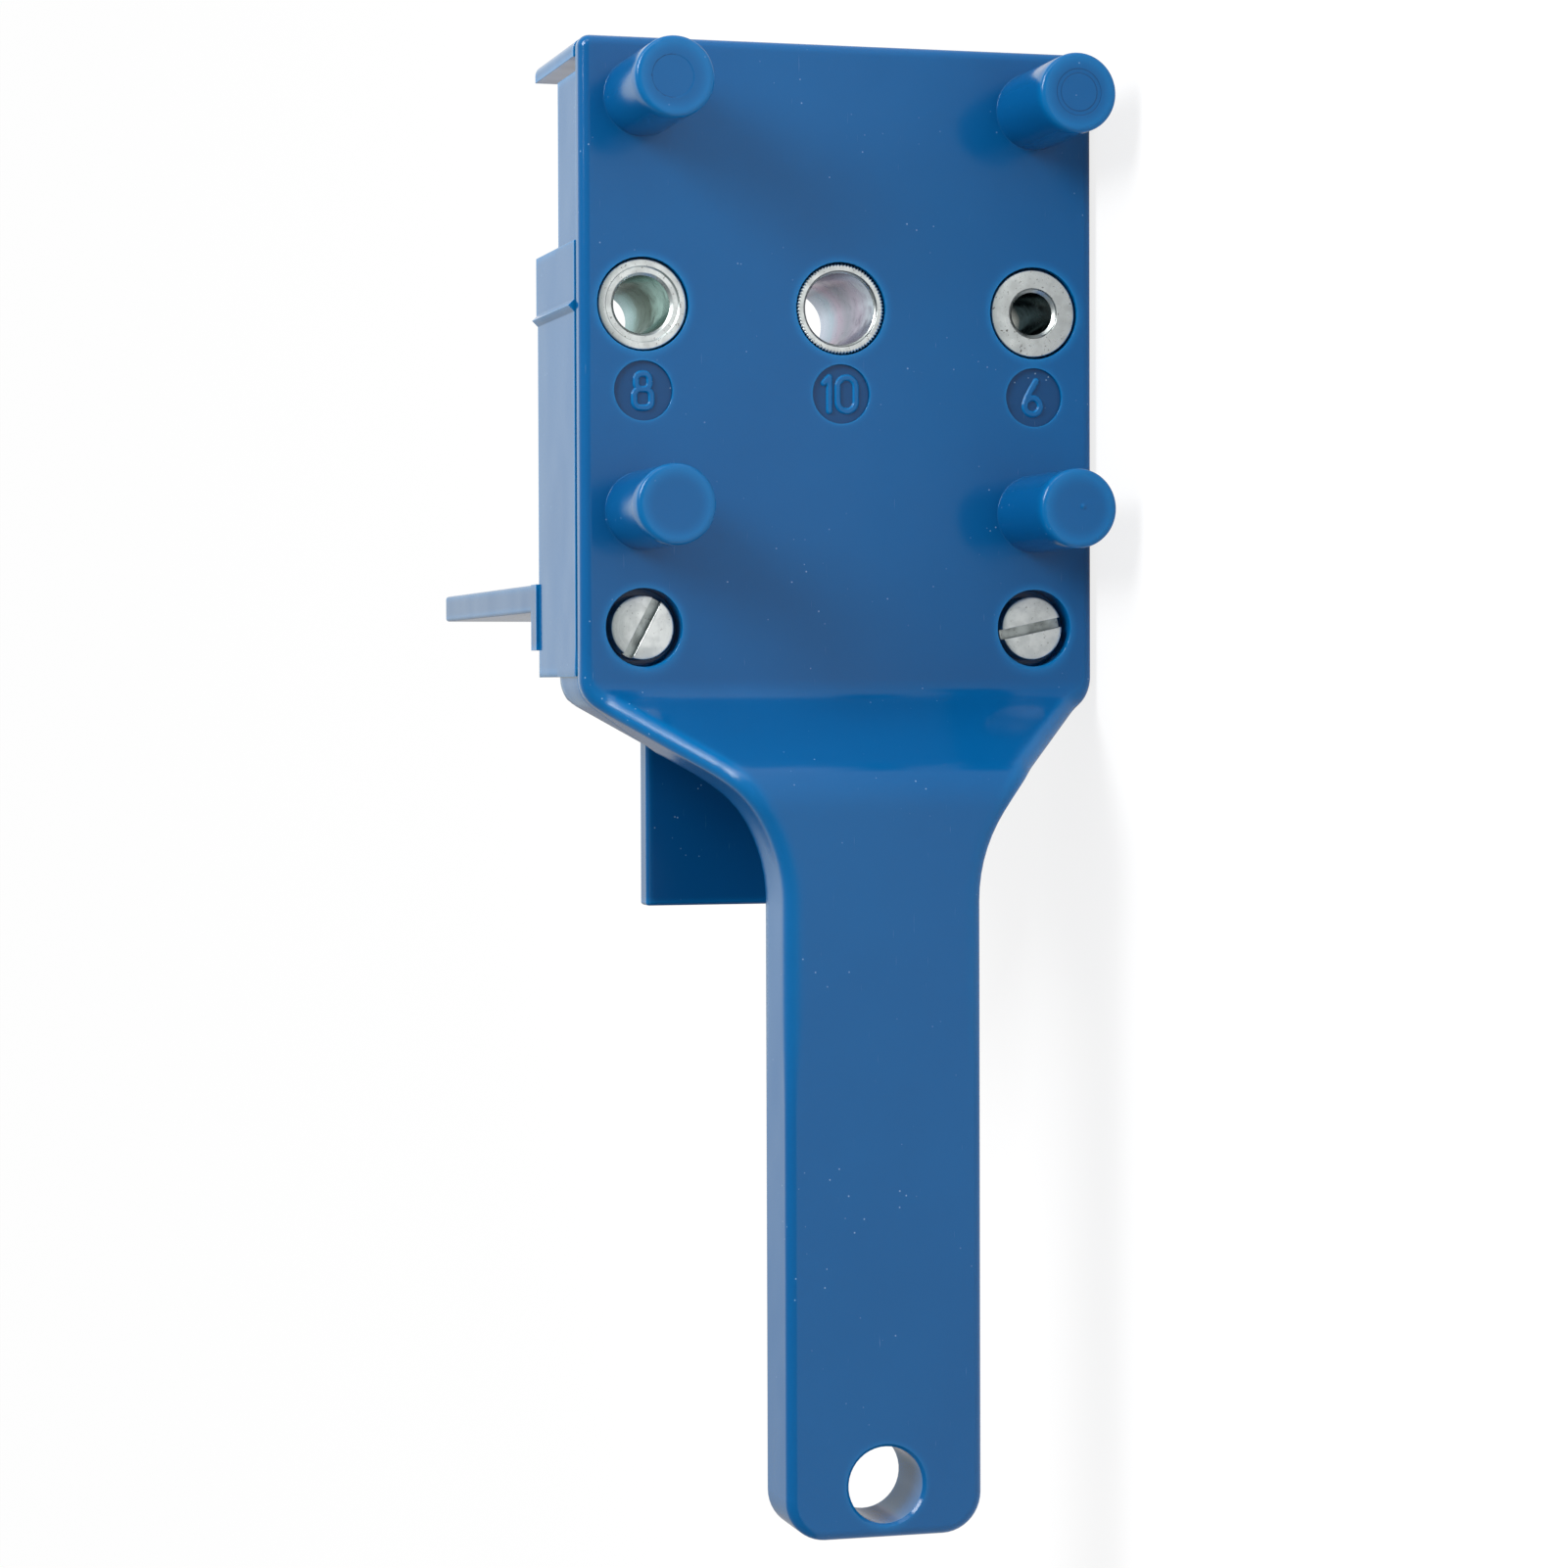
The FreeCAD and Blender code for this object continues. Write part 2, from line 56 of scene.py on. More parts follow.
# Moulded body: one shot of blue nylon-like plastic, satin where the mould was polished.
# It holds plate, pegs, bush block, neck and handle. Every thin edge is painted a brighter blue
# than the middle of a face: a painted glow standing in for light coming through the edge.

MM = 0.001
PEG_AXIS = 28.4 * MM

BODY_DEEP = (0.001, 0.067, 0.206, 1.0)
BODY_BRIGHT = (0.001, 0.089, 0.258, 1.0)
# The glow colour is painted light: thin edges turn to it in place of light coming through them.
BODY_PAINTED_EDGE = (0.001, 0.160, 0.410, 1.0)
BODY_ROUGHNESS = 0.13
PLASTIC_IOR = 1.47
PLASTIC_GLOSS = 0.35
SHEEN_SMOOTHER = 0.04
SHEEN_DULLER = 0.06
RELIEF_HEIGHT = 0.2 * MM

EDGE_RADIUS = 0.16 * MM
EDGE_SAMPLES = 8
NECK_RADIUS = 3.0 * MM
NECK_TOP = (-47.0 * MM, -55.0 * MM)
NECK_FOOT = (-112.0 * MM, -98.0 * MM)

PAINTED_EDGE_DEPTH = 1.4 * MM
PAINTED_EDGE_SAMPLES = 12
PAINTED_EDGE_OPEN = (0.95, 0.35)
PAINTED_EDGE_FADE = 1.2

FLOW_SIZE = 35.0 * MM
SINK_SCALE = 75.0
GRAIN_SCALE = 2600.0
GRAIN_SHARE = 0.02
SCRATCH_TURN = (0.3, 0.7, 0.9)
SCRATCH_STRETCH = (25.0, 300.0, 420.0)
SCRATCH_CUT = (0.73, 0.80)
SCRATCH_SHARE = 0.08
SCRATCH_ROUGHNESS = 0.12
DUST_COLOUR = (0.42, 0.62, 0.80, 1.0)
DUST_SHARE = 0.40
DUST_SCALE = 560.0
DUST_GRAIN = (0.075, 0.04)
DUST_PATCH_SCALE = 70.0
DUST_PATCH = (0.50, 0.60)


def add_node(tree, kind, settings=None, **values):
    """A node of a tree, with its settings and the plain values of its inputs."""
    node = tree.nodes.new(kind)
    for name, setting in (settings or {}).items():
        setattr(node, name, setting)
    for name, value in values.items():
        node.inputs[name.replace("_", " ")].default_value = value
    return node


def add_range(tree, span, onto=(0.0, 1.0)):
    """A node that carries one span of values over to another and stops at its ends."""
    return add_node(tree, "ShaderNodeMapRange",
                    From_Min=span[0], From_Max=span[1], To_Min=onto[0], To_Max=onto[1])


def add_math(tree, operation, first=None, second=None):
    """A sum of values, where a plain number may stand for the first or the second."""
    node = add_node(tree, "ShaderNodeMath", {"operation": operation})
    for entry, number in zip(node.inputs, (first, second)):
        if number is not None:
            entry.default_value = number
    return node


def new_group(name, inputs, outputs):
    """An empty shader group with named sockets, and its two end nodes."""
    group = bpy.data.node_groups.new(name, "ShaderNodeTree")
    for label, kind, start in inputs:
        socket = group.interface.new_socket(label, in_out="INPUT", socket_type=kind)
        socket.default_value = start
    for label, kind in outputs:
        group.interface.new_socket(label, in_out="OUTPUT", socket_type=kind)
    return group, group.nodes.new("NodeGroupInput"), group.nodes.new("NodeGroupOutput")


def place_group(tree, group, **values):
    """A group put into a material with its own values."""
    node = tree.nodes.new("ShaderNodeGroup")
    node.node_tree = group
    for name, value in values.items():
        node.inputs[name].default_value = value
    return node


def new_material(name):
    """A material, its node tree and its main shader."""
    material = bpy.data.materials.new(name)
    material.use_nodes = True
    tree = material.node_tree
    return material, tree, tree.nodes["Principled BSDF"]


def wear(node, material):
    """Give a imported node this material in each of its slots."""
    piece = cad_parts[node]
    for slot in piece.material_slots:
        slot.material = material


def rounded_edges_group():
    """Normals that run round every edge."""
    group, start, end = new_group(
        "rounded_edges",
        [("Radius", "NodeSocketFloat", EDGE_RADIUS)],
        [("Normal", "NodeSocketVector")])
    bevel = add_node(group, "ShaderNodeBevel", {"samples": EDGE_SAMPLES})
    group.links.new(start.outputs["Radius"], bevel.inputs["Radius"])
    group.links.new(bevel.outputs["Normal"], end.inputs["Normal"])
    return group


def painted_edge_light_group():
    """A painted glow mask, 1 at thin edges and fading inwards, standing in for light coming through."""
    group, start, end = new_group(
        "painted_edge_light",
        [("Depth", "NodeSocketFloat", PAINTED_EDGE_DEPTH)],
        [("Painted Edge", "NodeSocketFloat")])
    inside = add_node(group, "ShaderNodeAmbientOcclusion",
                      {"inside": True, "only_local": True, "samples": PAINTED_EDGE_SAMPLES})
    painted_edge_mask = add_range(group, PAINTED_EDGE_OPEN)
    fade = add_math(group, "POWER", second=PAINTED_EDGE_FADE)
    group.links.new(start.outputs["Depth"], inside.inputs["Distance"])
    group.links.new(inside.outputs["AO"], painted_edge_mask.inputs["Value"])
    group.links.new(painted_edge_mask.outputs["Result"], fade.inputs[0])
    group.links.new(fade.outputs["Value"], end.inputs["Painted Edge"])
    return group


def moulded_skin_group():
    """Flow shading, short scratches, dust and a fine relief of sinks and grain."""
    group, start, end = new_group(
        "moulded_skin",
        [("Size", "NodeSocketFloat", FLOW_SIZE)],
        [("Shade", "NodeSocketFloat"), ("Scratch", "NodeSocketFloat"),
         ("Dust", "NodeSocketFloat"), ("Relief", "NodeSocketFloat")])
    place = add_node(group, "ShaderNodeTexCoord")
    scale = add_math(group, "DIVIDE", first=1.0)
    flow = add_node(group, "ShaderNodeTexNoise", Detail=3.0, Roughness=0.5)
    streaks = add_node(group, "ShaderNodeMapping", Rotation=SCRATCH_TURN, Scale=SCRATCH_STRETCH)
    scratch = add_node(group, "ShaderNodeTexNoise", Scale=9.0, Detail=2.0, Roughness=0.6)
    thin = add_range(group, SCRATCH_CUT)
    grains = add_node(group, "ShaderNodeTexVoronoi", Scale=DUST_SCALE, Randomness=1.0)
    chance = add_node(group, "ShaderNodeTexNoise", Scale=DUST_PATCH_SCALE, Detail=2.0)
    keep = add_range(group, DUST_PATCH)
    speck = add_range(group, DUST_GRAIN)
    dust = add_math(group, "MULTIPLY")
    sink = add_node(group, "ShaderNodeTexNoise", Scale=SINK_SCALE, Detail=1.0)
    fine = add_node(group, "ShaderNodeTexNoise", Scale=GRAIN_SCALE, Detail=2.0)
    relief = add_math(group, "MULTIPLY_ADD", second=GRAIN_SHARE)
    links = group.links
    links.new(start.outputs["Size"], scale.inputs[1])
    links.new(scale.outputs["Value"], flow.inputs["Scale"])
    for texture in (flow, grains, chance, sink, fine, streaks):
        links.new(place.outputs["Object"], texture.inputs["Vector"])
    links.new(streaks.outputs["Vector"], scratch.inputs["Vector"])
    links.new(scratch.outputs["Fac"], thin.inputs["Value"])
    links.new(grains.outputs["Distance"], speck.inputs["Value"])
    links.new(chance.outputs["Fac"], keep.inputs["Value"])
    links.new(speck.outputs["Result"], dust.inputs[0])
    links.new(keep.outputs["Result"], dust.inputs[1])
    links.new(fine.outputs["Fac"], relief.inputs[0])
    links.new(sink.outputs["Fac"], relief.inputs[2])
    links.new(flow.outputs["Fac"], end.inputs["Shade"])
    links.new(thin.outputs["Result"], end.inputs["Scratch"])
    links.new(dust.outputs["Value"], end.inputs["Dust"])
    links.new(relief.outputs["Value"], end.inputs["Relief"])
    return group


rounded_edges = rounded_edges_group()
painted_edge_light = painted_edge_light_group()
moulded_skin = moulded_skin_group()


def soften_neck(tree, edges, painted_edge_mask, edge_radius, painted_edge_depth, neck_radius):
    """Rounder edges and a deeper painted glow on the neck, which fade out towards plate and handle."""
    links = tree.links
    place = add_node(tree, "ShaderNodeTexCoord")
    along = add_node(tree, "ShaderNodeSeparateXYZ")
    below_plate = add_range(tree, NECK_TOP)
    above_handle = add_range(tree, NECK_FOOT)
    neck = add_math(tree, "MULTIPLY")
    softness = add_range(tree, (0.0, 1.0), (edge_radius, neck_radius))
    reach = add_range(tree, (0.0, 1.0), (painted_edge_depth, neck_radius))
    links.new(place.outputs["Object"], along.inputs["Vector"])
    links.new(along.outputs["X"], below_plate.inputs["Value"])
    links.new(along.outputs["X"], above_handle.inputs["Value"])
    links.new(below_plate.outputs["Result"], neck.inputs[0])
    links.new(above_handle.outputs["Result"], neck.inputs[1])
    links.new(neck.outputs["Value"], softness.inputs["Value"])
    links.new(neck.outputs["Value"], reach.inputs["Value"])
    links.new(softness.outputs["Result"], edges.inputs["Radius"])
    links.new(reach.outputs["Result"], painted_edge_mask.inputs["Depth"])


def blue_plastic(name, deep, bright, painted_edge_colour, roughness,
                 edge_radius=EDGE_RADIUS, painted_edge_depth=PAINTED_EDGE_DEPTH, neck_radius=None):
    """Dyed-through blue plastic with soft edges and a painted glow along its thin edges."""
    material, tree, shader = new_material(name)
    links = tree.links
    skin = place_group(tree, moulded_skin, Size=FLOW_SIZE)
    edges = place_group(tree, rounded_edges, Radius=edge_radius)
    painted_edge_mask = place_group(tree, painted_edge_light, Depth=painted_edge_depth)
    if neck_radius is not None:
        soften_neck(tree, edges, painted_edge_mask, edge_radius, painted_edge_depth, neck_radius)
    flow = add_node(tree, "ShaderNodeMix", {"data_type": "RGBA"}, A=deep, B=bright)
    # Painted glow: the colour turns towards the glow colour at thin edges.
    lit = add_node(tree, "ShaderNodeMix", {"data_type": "RGBA"}, B=painted_edge_colour)
    dusty = add_node(tree, "ShaderNodeMix", {"data_type": "RGBA"}, B=DUST_COLOUR)
    dust_share = add_math(tree, "MULTIPLY", second=DUST_SHARE)
    marked_share = add_math(tree, "MULTIPLY_ADD", second=SCRATCH_SHARE)
    sheen = add_range(tree, (0.0, 1.0), (roughness - SHEEN_SMOOTHER, roughness + SHEEN_DULLER))
    scuffed = add_math(tree, "MULTIPLY_ADD", second=SCRATCH_ROUGHNESS)
    bump = add_node(tree, "ShaderNodeBump", Strength=1.0, Distance=RELIEF_HEIGHT)
    links.new(skin.outputs["Shade"], flow.inputs["Factor"])
    links.new(flow.outputs["Result"], lit.inputs["A"])
    links.new(painted_edge_mask.outputs["Painted Edge"], lit.inputs["Factor"])
    links.new(lit.outputs["Result"], dusty.inputs["A"])
    links.new(skin.outputs["Dust"], dust_share.inputs[0])
    links.new(skin.outputs["Scratch"], marked_share.inputs[0])
    links.new(dust_share.outputs["Value"], marked_share.inputs[2])
    links.new(marked_share.outputs["Value"], dusty.inputs["Factor"])
    links.new(dusty.outputs["Result"], shader.inputs["Base Color"])
    links.new(skin.outputs["Shade"], sheen.inputs["Value"])
    links.new(skin.outputs["Scratch"], scuffed.inputs[0])
    links.new(sheen.outputs["Result"], scuffed.inputs[2])
    links.new(scuffed.outputs["Value"], shader.inputs["Roughness"])
    links.new(skin.outputs["Relief"], bump.inputs["Height"])
    links.new(edges.outputs["Normal"], bump.inputs["Normal"])
    links.new(bump.outputs["Normal"], shader.inputs["Normal"])
    shader.inputs["IOR"].default_value = PLASTIC_IOR
    shader.inputs["Specular IOR Level"].default_value = PLASTIC_GLOSS
    return material


body_plastic = blue_plastic("body_plastic", BODY_DEEP, BODY_BRIGHT, BODY_PAINTED_EDGE, BODY_ROUGHNESS,
                            neck_radius=NECK_RADIUS)
wear("guide_body", body_plastic)


# Size marks: each bush has its bore in millimetres below it. The figure stands up from the
# floor of a shallow round recess, drawn with a round-nosed cutter in the mould.

FIGURE_TOP = 2.35
FIGURE_RAISE = 0.30
STROKE_HALF = 0.36
STROKE_EDGE = 0.20
CORNER_STEPS = 8
FLOOR_PROUD = 0.02
FLANK_SHARE = 0.15
DISC_FLOOR = 0.45 * MM
DISC_DROP = 11.9 * MM
DISC_RADIUS = 4.12
DISC_RINGS = 56
DISC_SECTORS = 240
# Painted shade on the recess floor, darker than the body.
PAINTED_SHADE_DEEP = (0.001, 0.042, 0.132, 1.0)
PAINTED_SHADE_BRIGHT = (0.001, 0.052, 0.160, 1.0)
RECESS_ROUGHNESS = 0.22
RECESS_EDGE = 0.2 * MM
# Painted highlight on the figures' sloping flanks, lighter than the body.
PAINTED_HIGHLIGHT_DEEP = (0.001, 0.105, 0.290, 1.0)
PAINTED_HIGHLIGHT_BRIGHT = (0.001, 0.125, 0.340, 1.0)
STROKE_ROUGHNESS = 0.18
STROKE_ROUNDING = 0.1 * MM
marked_bores = {"8": PEG_AXIS, "10": 0.0, "6": -PEG_AXIS}


def arc(centre, radii, start, finish, steps):
    """Points along an ellipse between two angles in degrees."""
    turn = np.radians(np.linspace(start, finish, steps))
    return np.stack([centre[0] + radii[0] * np.cos(turn), centre[1] + radii[1] * np.sin(turn)], axis=1)


def rounded_loop(low, high, radius):
    """A closed line round a box with rounded corners."""
    middle = ((low[0] + high[0]) / 2.0, (low[1] + high[1]) / 2.0)
    corners = [(high[0], high[1]), (low[0], high[1]), (low[0], low[1]), (high[0], low[1])]
    runs = []
    for quarter, (across, up) in enumerate(corners):
        start = 90 * quarter
        centre = (across - math.copysign(radius, across - middle[0]),
                  up - math.copysign(radius, up - middle[1]))
        runs.append(arc(centre, (radius, radius), start, start + 90, CORNER_STEPS))
    points = np.concatenate(runs)
    return np.concatenate([points, points[:1]])


def distance_to_lines(points, lines):
    """How far each point is from the nearest of some open or closed lines."""
    nearest = np.full(len(points), np.inf)
    shortest_run = 1e-12
    for line in lines:
        for start, finish in zip(line[:-1], line[1:]):
            run = finish - start
            share = np.clip(((points - start) @ run) / max(run @ run, shortest_run), 0.0, 1.0)
            gap = np.linalg.norm(points - (start + share[:, None] * run), axis=1)
            nearest = np.minimum(nearest, gap)
    return nearest


def smooth_step(value):
    """A rise from 0 to 1 that starts and ends gently."""
    share = np.clip(value, 0.0, 1.0)
    return share * share * (3.0 - 2.0 * share)


def figure_height(points, lines):
    """How far in mm the figure stands above the floor of its recess, with sloping flanks."""
    inside = (STROKE_HALF - distance_to_lines(points, lines)) / STROKE_EDGE
    return FIGURE_RAISE * smooth_step(inside + 0.5) + FLOOR_PROUD


def skin_object(name, points, faces):
    """A smooth mesh, set into the scene."""
    mesh = bpy.data.meshes.new(name)
    mesh.from_pydata(points, [], faces)
    mesh.shade_smooth()
    piece = bpy.data.objects.new(name, mesh)
    bpy.context.scene.collection.objects.link(piece)
    return piece


def marked_disc(name, centre, lines):
    """The round floor of a recess with its raised figure, drawn in mm to the right and up."""
    radii = np.linspace(0.0, DISC_RADIUS, DISC_RINGS + 1)[1:]
    turns = np.linspace(0.0, 2.0 * math.pi, DISC_SECTORS, endpoint=False)
    flat = [(0.0, 0.0)] + [(r * math.cos(t), r * math.sin(t)) for r in radii for t in turns]
    heights = figure_height(np.array(flat), lines)
    points = [(centre[0] + up * MM, DISC_FLOOR - height * MM, centre[1] - right * MM)
              for (right, up), height in zip(flat, heights)]
    faces = []
    for k in range(DISC_SECTORS):
        after = (k + 1) % DISC_SECTORS
        faces.append((0, 1 + k, 1 + after))
        for ring in range(DISC_RINGS - 1):
            inner = 1 + ring * DISC_SECTORS
            outer = inner + DISC_SECTORS
            faces.append((inner + k, outer + k, outer + after, inner + after))
    return skin_object(name, points, faces)


figure_lines = {
    "6": [arc((-0.10, -1.20), (1.15, 1.15), 0, 360, 36),
          np.array([(-1.13, -0.68), (-0.92, -0.05), (-0.45, 0.85), (0.45, FIGURE_TOP)])],
    "8": [rounded_loop((-0.95, 0.22), (0.95, FIGURE_TOP), 0.80),
          rounded_loop((-1.22, -FIGURE_TOP), (1.22, 0.22), 0.90)],
    "10": [np.array([(-2.45, 1.55), (-1.65, FIGURE_TOP), (-1.65, -FIGURE_TOP)]),
           rounded_loop((-0.45, -FIGURE_TOP), (2.20, FIGURE_TOP), 1.32)],
}
# The recess floor takes the painted shade, the figures' flanks the painted highlight, and their tops the
# body's colour.
painted_shade_plastic = blue_plastic("painted_shade_plastic", PAINTED_SHADE_DEEP, PAINTED_SHADE_BRIGHT, BODY_PAINTED_EDGE,
                              RECESS_ROUGHNESS, RECESS_EDGE)
painted_highlight_plastic = blue_plastic("painted_highlight_plastic", PAINTED_HIGHLIGHT_DEEP, PAINTED_HIGHLIGHT_BRIGHT, BODY_PAINTED_EDGE,
                              STROKE_ROUGHNESS, STROKE_ROUNDING)
flank_level = DISC_FLOOR - FLANK_SHARE * FIGURE_RAISE * MM
top_level = DISC_FLOOR - FIGURE_RAISE * MM

for figure, across in marked_bores.items():
    mark = marked_disc("size_mark_" + figure, (-DISC_DROP, across), figure_lines[figure])
    for material in (painted_shade_plastic, painted_highlight_plastic, body_plastic):
        mark.data.materials.append(material)
    for face in mark.data.polygons:
        face.material_index = int(face.center.y < flank_level) + int(face.center.y < top_level)
    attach(mark, "body")


# Peg ends: each tip is rounded at its rim and a little dished where the plastic shrank. The
# upper right peg shows the ring of an ejector sleeve, the upper left one a crescent of it, and
# the lower right one the stub of its gate. They are part of the moulding.

PEG_RADIUS = 5.45
PEG_END = -19.0
PEG_ROUND = 0.6
PEG_SKIN = 3.0
PEG_SECTORS = 120
PEG_STEP = 0.12
RIM_DEGREES = np.arange(0.0, 91.0, 10.0)
PEG_ROUGHNESS = 0.16
PEG_PAINTED_EDGE_DEPTH = 2.6 * MM
SKIN_PROUD = 0.015
DISH_DEPTH = 0.04
DISH_RIM = 4.6
DISH_RIM_WIDTH = 0.4
MARK_DEPTH = 0.10
RING_RADIUS = 2.9
RING_HALF = 0.40
RING_SHADE_HALF = 0.38
CRESCENT_SHIFT = 0.4
CRESCENT_EDGE = 0.25
CRESCENT_INNER = 0.9
GATE_PLACE = (0.5, 0.2)
GATE_RADIUS = 0.5
GATE_HEIGHT = 0.22
SIDE_TOLERANCE = 0.01
peg_plastic = blue_plastic("peg_plastic", BODY_DEEP, BODY_BRIGHT, BODY_PAINTED_EDGE, PEG_ROUGHNESS,
                           painted_edge_depth=PEG_PAINTED_EDGE_DEPTH)
peg_ends = {
    "peg_end_top_left": (PEG_AXIS, PEG_AXIS, "crescent"),
    "peg_end_top_right": (PEG_AXIS, -PEG_AXIS, "ring"),
    "peg_end_low_left": (-PEG_AXIS, PEG_AXIS, "plain"),
    "peg_end_low_right": (-PEG_AXIS, -PEG_AXIS, "gate"),
}


def peg_section():
    """Radius and depth in mm from the middle of the tip, round the rim and up the side."""
    flat = PEG_RADIUS - PEG_ROUND
    section = [(radius, PEG_END) for radius in np.arange(PEG_STEP, flat, PEG_STEP)]
    for turn in np.radians(RIM_DEGREES):
        section.append((flat + PEG_ROUND * math.sin(turn), PEG_END + PEG_ROUND * (1.0 - math.cos(turn))))
    section.append((PEG_RADIUS, PEG_END + PEG_SKIN))
    return section


def tip_height(mark_kind, right, up):
    """How far in mm the tip's skin stands out, with its dish and its mark."""
    radius = math.hypot(right, up)
    height = SKIN_PROUD + DISH_DEPTH * smooth_step(radius / PEG_RADIUS)
    height -= DISH_DEPTH * smooth_step((radius - DISH_RIM) / DISH_RIM_WIDTH)
    if mark_kind == "ring":
        height -= MARK_DEPTH * smooth_step(1.0 - abs(radius - RING_RADIUS) / RING_HALF)
    if mark_kind == "crescent":
        inwards = RING_RADIUS - math.hypot(right + CRESCENT_SHIFT, up)
        height -= MARK_DEPTH * smooth_step(inwards / CRESCENT_EDGE)
    if mark_kind == "gate":
        away = math.hypot(right - GATE_PLACE[0], up - GATE_PLACE[1])
        height += GATE_HEIGHT * smooth_step(1.0 - away / GATE_RADIUS)
    return height


def in_mark(mark_kind, right, up):
    """Whether a place on the tip lies in the part of its mark that is painted darker as shade."""
    if mark_kind == "ring":
        return abs(math.hypot(right, up) - RING_RADIUS) < RING_SHADE_HALF
    if mark_kind == "crescent":
        within = math.hypot(right + CRESCENT_SHIFT, up) < RING_RADIUS
        return within and right < 0.0 and math.hypot(right - CRESCENT_INNER, up) > RING_RADIUS
    return False


def peg_end_skin(name, along, across, mark_kind):
    """The skin of one tip, from its middle to a little way up the side."""
    section = peg_section()
    points = [(along, (PEG_END - SKIN_PROUD) * MM, across)]
    for turn in np.linspace(0.0, 2.0 * math.pi, PEG_SECTORS, endpoint=False):
        for radius, depth in section:
            right = radius * math.cos(turn)
            up = radius * math.sin(turn)
            on_side = depth > PEG_END + PEG_ROUND - SIDE_TOLERANCE
            wide = 1.0 + SKIN_PROUD / PEG_RADIUS if on_side else 1.0
            height = 0.0 if on_side else tip_height(mark_kind, right, up)
            points.append((along + up * wide * MM, (depth - height) * MM, across - right * wide * MM))
    count = len(section)
    faces = []
    for k in range(PEG_SECTORS):
        here = 1 + k * count
        after = 1 + (k + 1) % PEG_SECTORS * count
        faces.append((0, here, after))
        for step in range(count - 1):
            faces.append((here + step, here + step + 1, after + step + 1, after + step))
    return skin_object(name, points, faces)


# The ring and the crescent take the painted shade colour of the recesses, as shade in their step.
for name, (along, across, mark_kind) in peg_ends.items():
    peg_end = peg_end_skin(name, along, across, mark_kind)
    peg_end.data.materials.append(peg_plastic)
    peg_end.data.materials.append(painted_shade_plastic)
    for face in peg_end.data.polygons:
        right = (across - face.center.z) / MM
        up = (face.center.x - along) / MM
        face.material_index = int(in_mark(mark_kind, right, up))
    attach(peg_end, "body")


# Edge stop: a second moulding with its shelf, flange and tongue, painted darker than the body as shade.
# The tongue slides in a channel of the block and is clamped there by the bar and two screws.

# Painted shade: these colours are darker than the body's, for the tongue in the guide's shadow.
STOP_SHADED_DEEP = (0.001, 0.046, 0.155, 1.0)
STOP_SHADED_BRIGHT = (0.001, 0.064, 0.195, 1.0)
STOP_PAINTED_EDGE = (0.001, 0.150, 0.390, 1.0)
STOP_ROUGHNESS = 0.15
stop_plastic = blue_plastic("stop_plastic", STOP_SHADED_DEEP, STOP_SHADED_BRIGHT, STOP_PAINTED_EDGE, STOP_ROUGHNESS)
wear("edge_stop", stop_plastic)


# Drill bushes: turned steel sleeves, bright zinc plated and pressed into the block.
# The largest has a finely knurled collar, and the lathe's rings show on every face.

BUSH_RADIUS = 6.5
BUSH_FRONT = 0.3
BUSH_REAR = 28.0
BUSH_SEGMENTS = 160
COLLAR_LENGTH = 1.4
COLLAR_STEP = 1.6
COLLAR_BAND = 0.5
REAR_CHAMFER = 0.4
REAR_MOUTH = 0.45
RECESS_DEPTH = 0.30
RECESS_SLOPE = 0.16
ROUNDING_SHARE = 0.3
KNURLS = 80
KNURL_SEGMENTS = 6 * KNURLS
KNURL_HALF_DEPTH = 0.12
BORE_TOLERANCE = 0.02
SHARP_ANGLE = math.radians(28)

BUSH_LIGHT = (0.74, 0.78, 0.77, 1.0)
BUSH_DULL = (0.64, 0.67, 0.66, 1.0)
TURNED_FINISH = {"pitch": 0.35 * MM, "roughness": 0.26, "depth": 0.025 * MM}
REAMED_FINISH = {"pitch": 0.9 * MM, "roughness": 0.14, "depth": 0.006 * MM}
STEEL_EDGE = 0.15 * MM
STAIN_SIZE = 1.6 * MM
STAIN_CUT = (0.42, 0.62)
STAIN_ROUGHNESS = 0.18
ROUGH_SPAN = (0.35, 0.7)
PIT_COLOUR = (0.16, 0.15, 0.14, 1.0)
PIT_SCALE = 2200.0
PIT_CUT = (0.64, 0.72)
RUB_TURN = (0.4, 0.2, 0.7)
RUB_STRETCH = (60.0, 900.0, 900.0)
RUB_SHARE = 0.35
RELIEF_STRENGTH = 0.5
PAINTED_BAND_SPAN = (0.0, 28.0 * MM)
PAINTED_BAND_WANDER = 0.16

# Across, bore, mouth, shoulder, gap at the front, width of the recess, knurled or not.
bushes = {
    "small": (-PEG_AXIS, 3.0, 0.40, 0.30, 0.32, 0.02, False),
    "medium": (PEG_AXIS, 4.0, 0.40, 0.40, 0.18, 0.72, False),
    "large": (0.0, 5.0, 0.18, 0.35, 0.10, 0.02, True),
}
# Painted reflection and shade: each bore's colour runs in bands along its depth, standing in for what
# the bore reflects and for the dark inside it.
painted_bore_bands = {
    "small": ((0.0, (0.30, 0.38, 0.40)), (0.35, (0.22, 0.28, 0.29)), (0.60, (0.12, 0.13, 0.13)),
              (0.72, (0.60, 0.55, 0.50)), (0.80, (0.03, 0.03, 0.03)), (1.0, (0.01, 0.01, 0.01))),
    "medium": ((0.0, (0.62, 0.76, 0.71)), (0.32, (0.54, 0.66, 0.61)), (0.52, (0.16, 0.15, 0.13)),
               (0.74, (0.24, 0.24, 0.22)), (0.90, (0.62, 0.74, 0.76)), (1.0, (0.76, 0.86, 0.90))),
    "large": ((0.0, (0.72, 0.82, 0.83)), (0.16, (0.66, 0.70, 0.74)), (0.36, (0.56, 0.48, 0.55)),
              (0.56, (0.42, 0.41, 0.45)), (0.72, (0.62, 0.50, 0.58)), (0.86, (0.60, 0.69, 0.76)),
              (1.0, (0.78, 0.80, 0.88))),
}
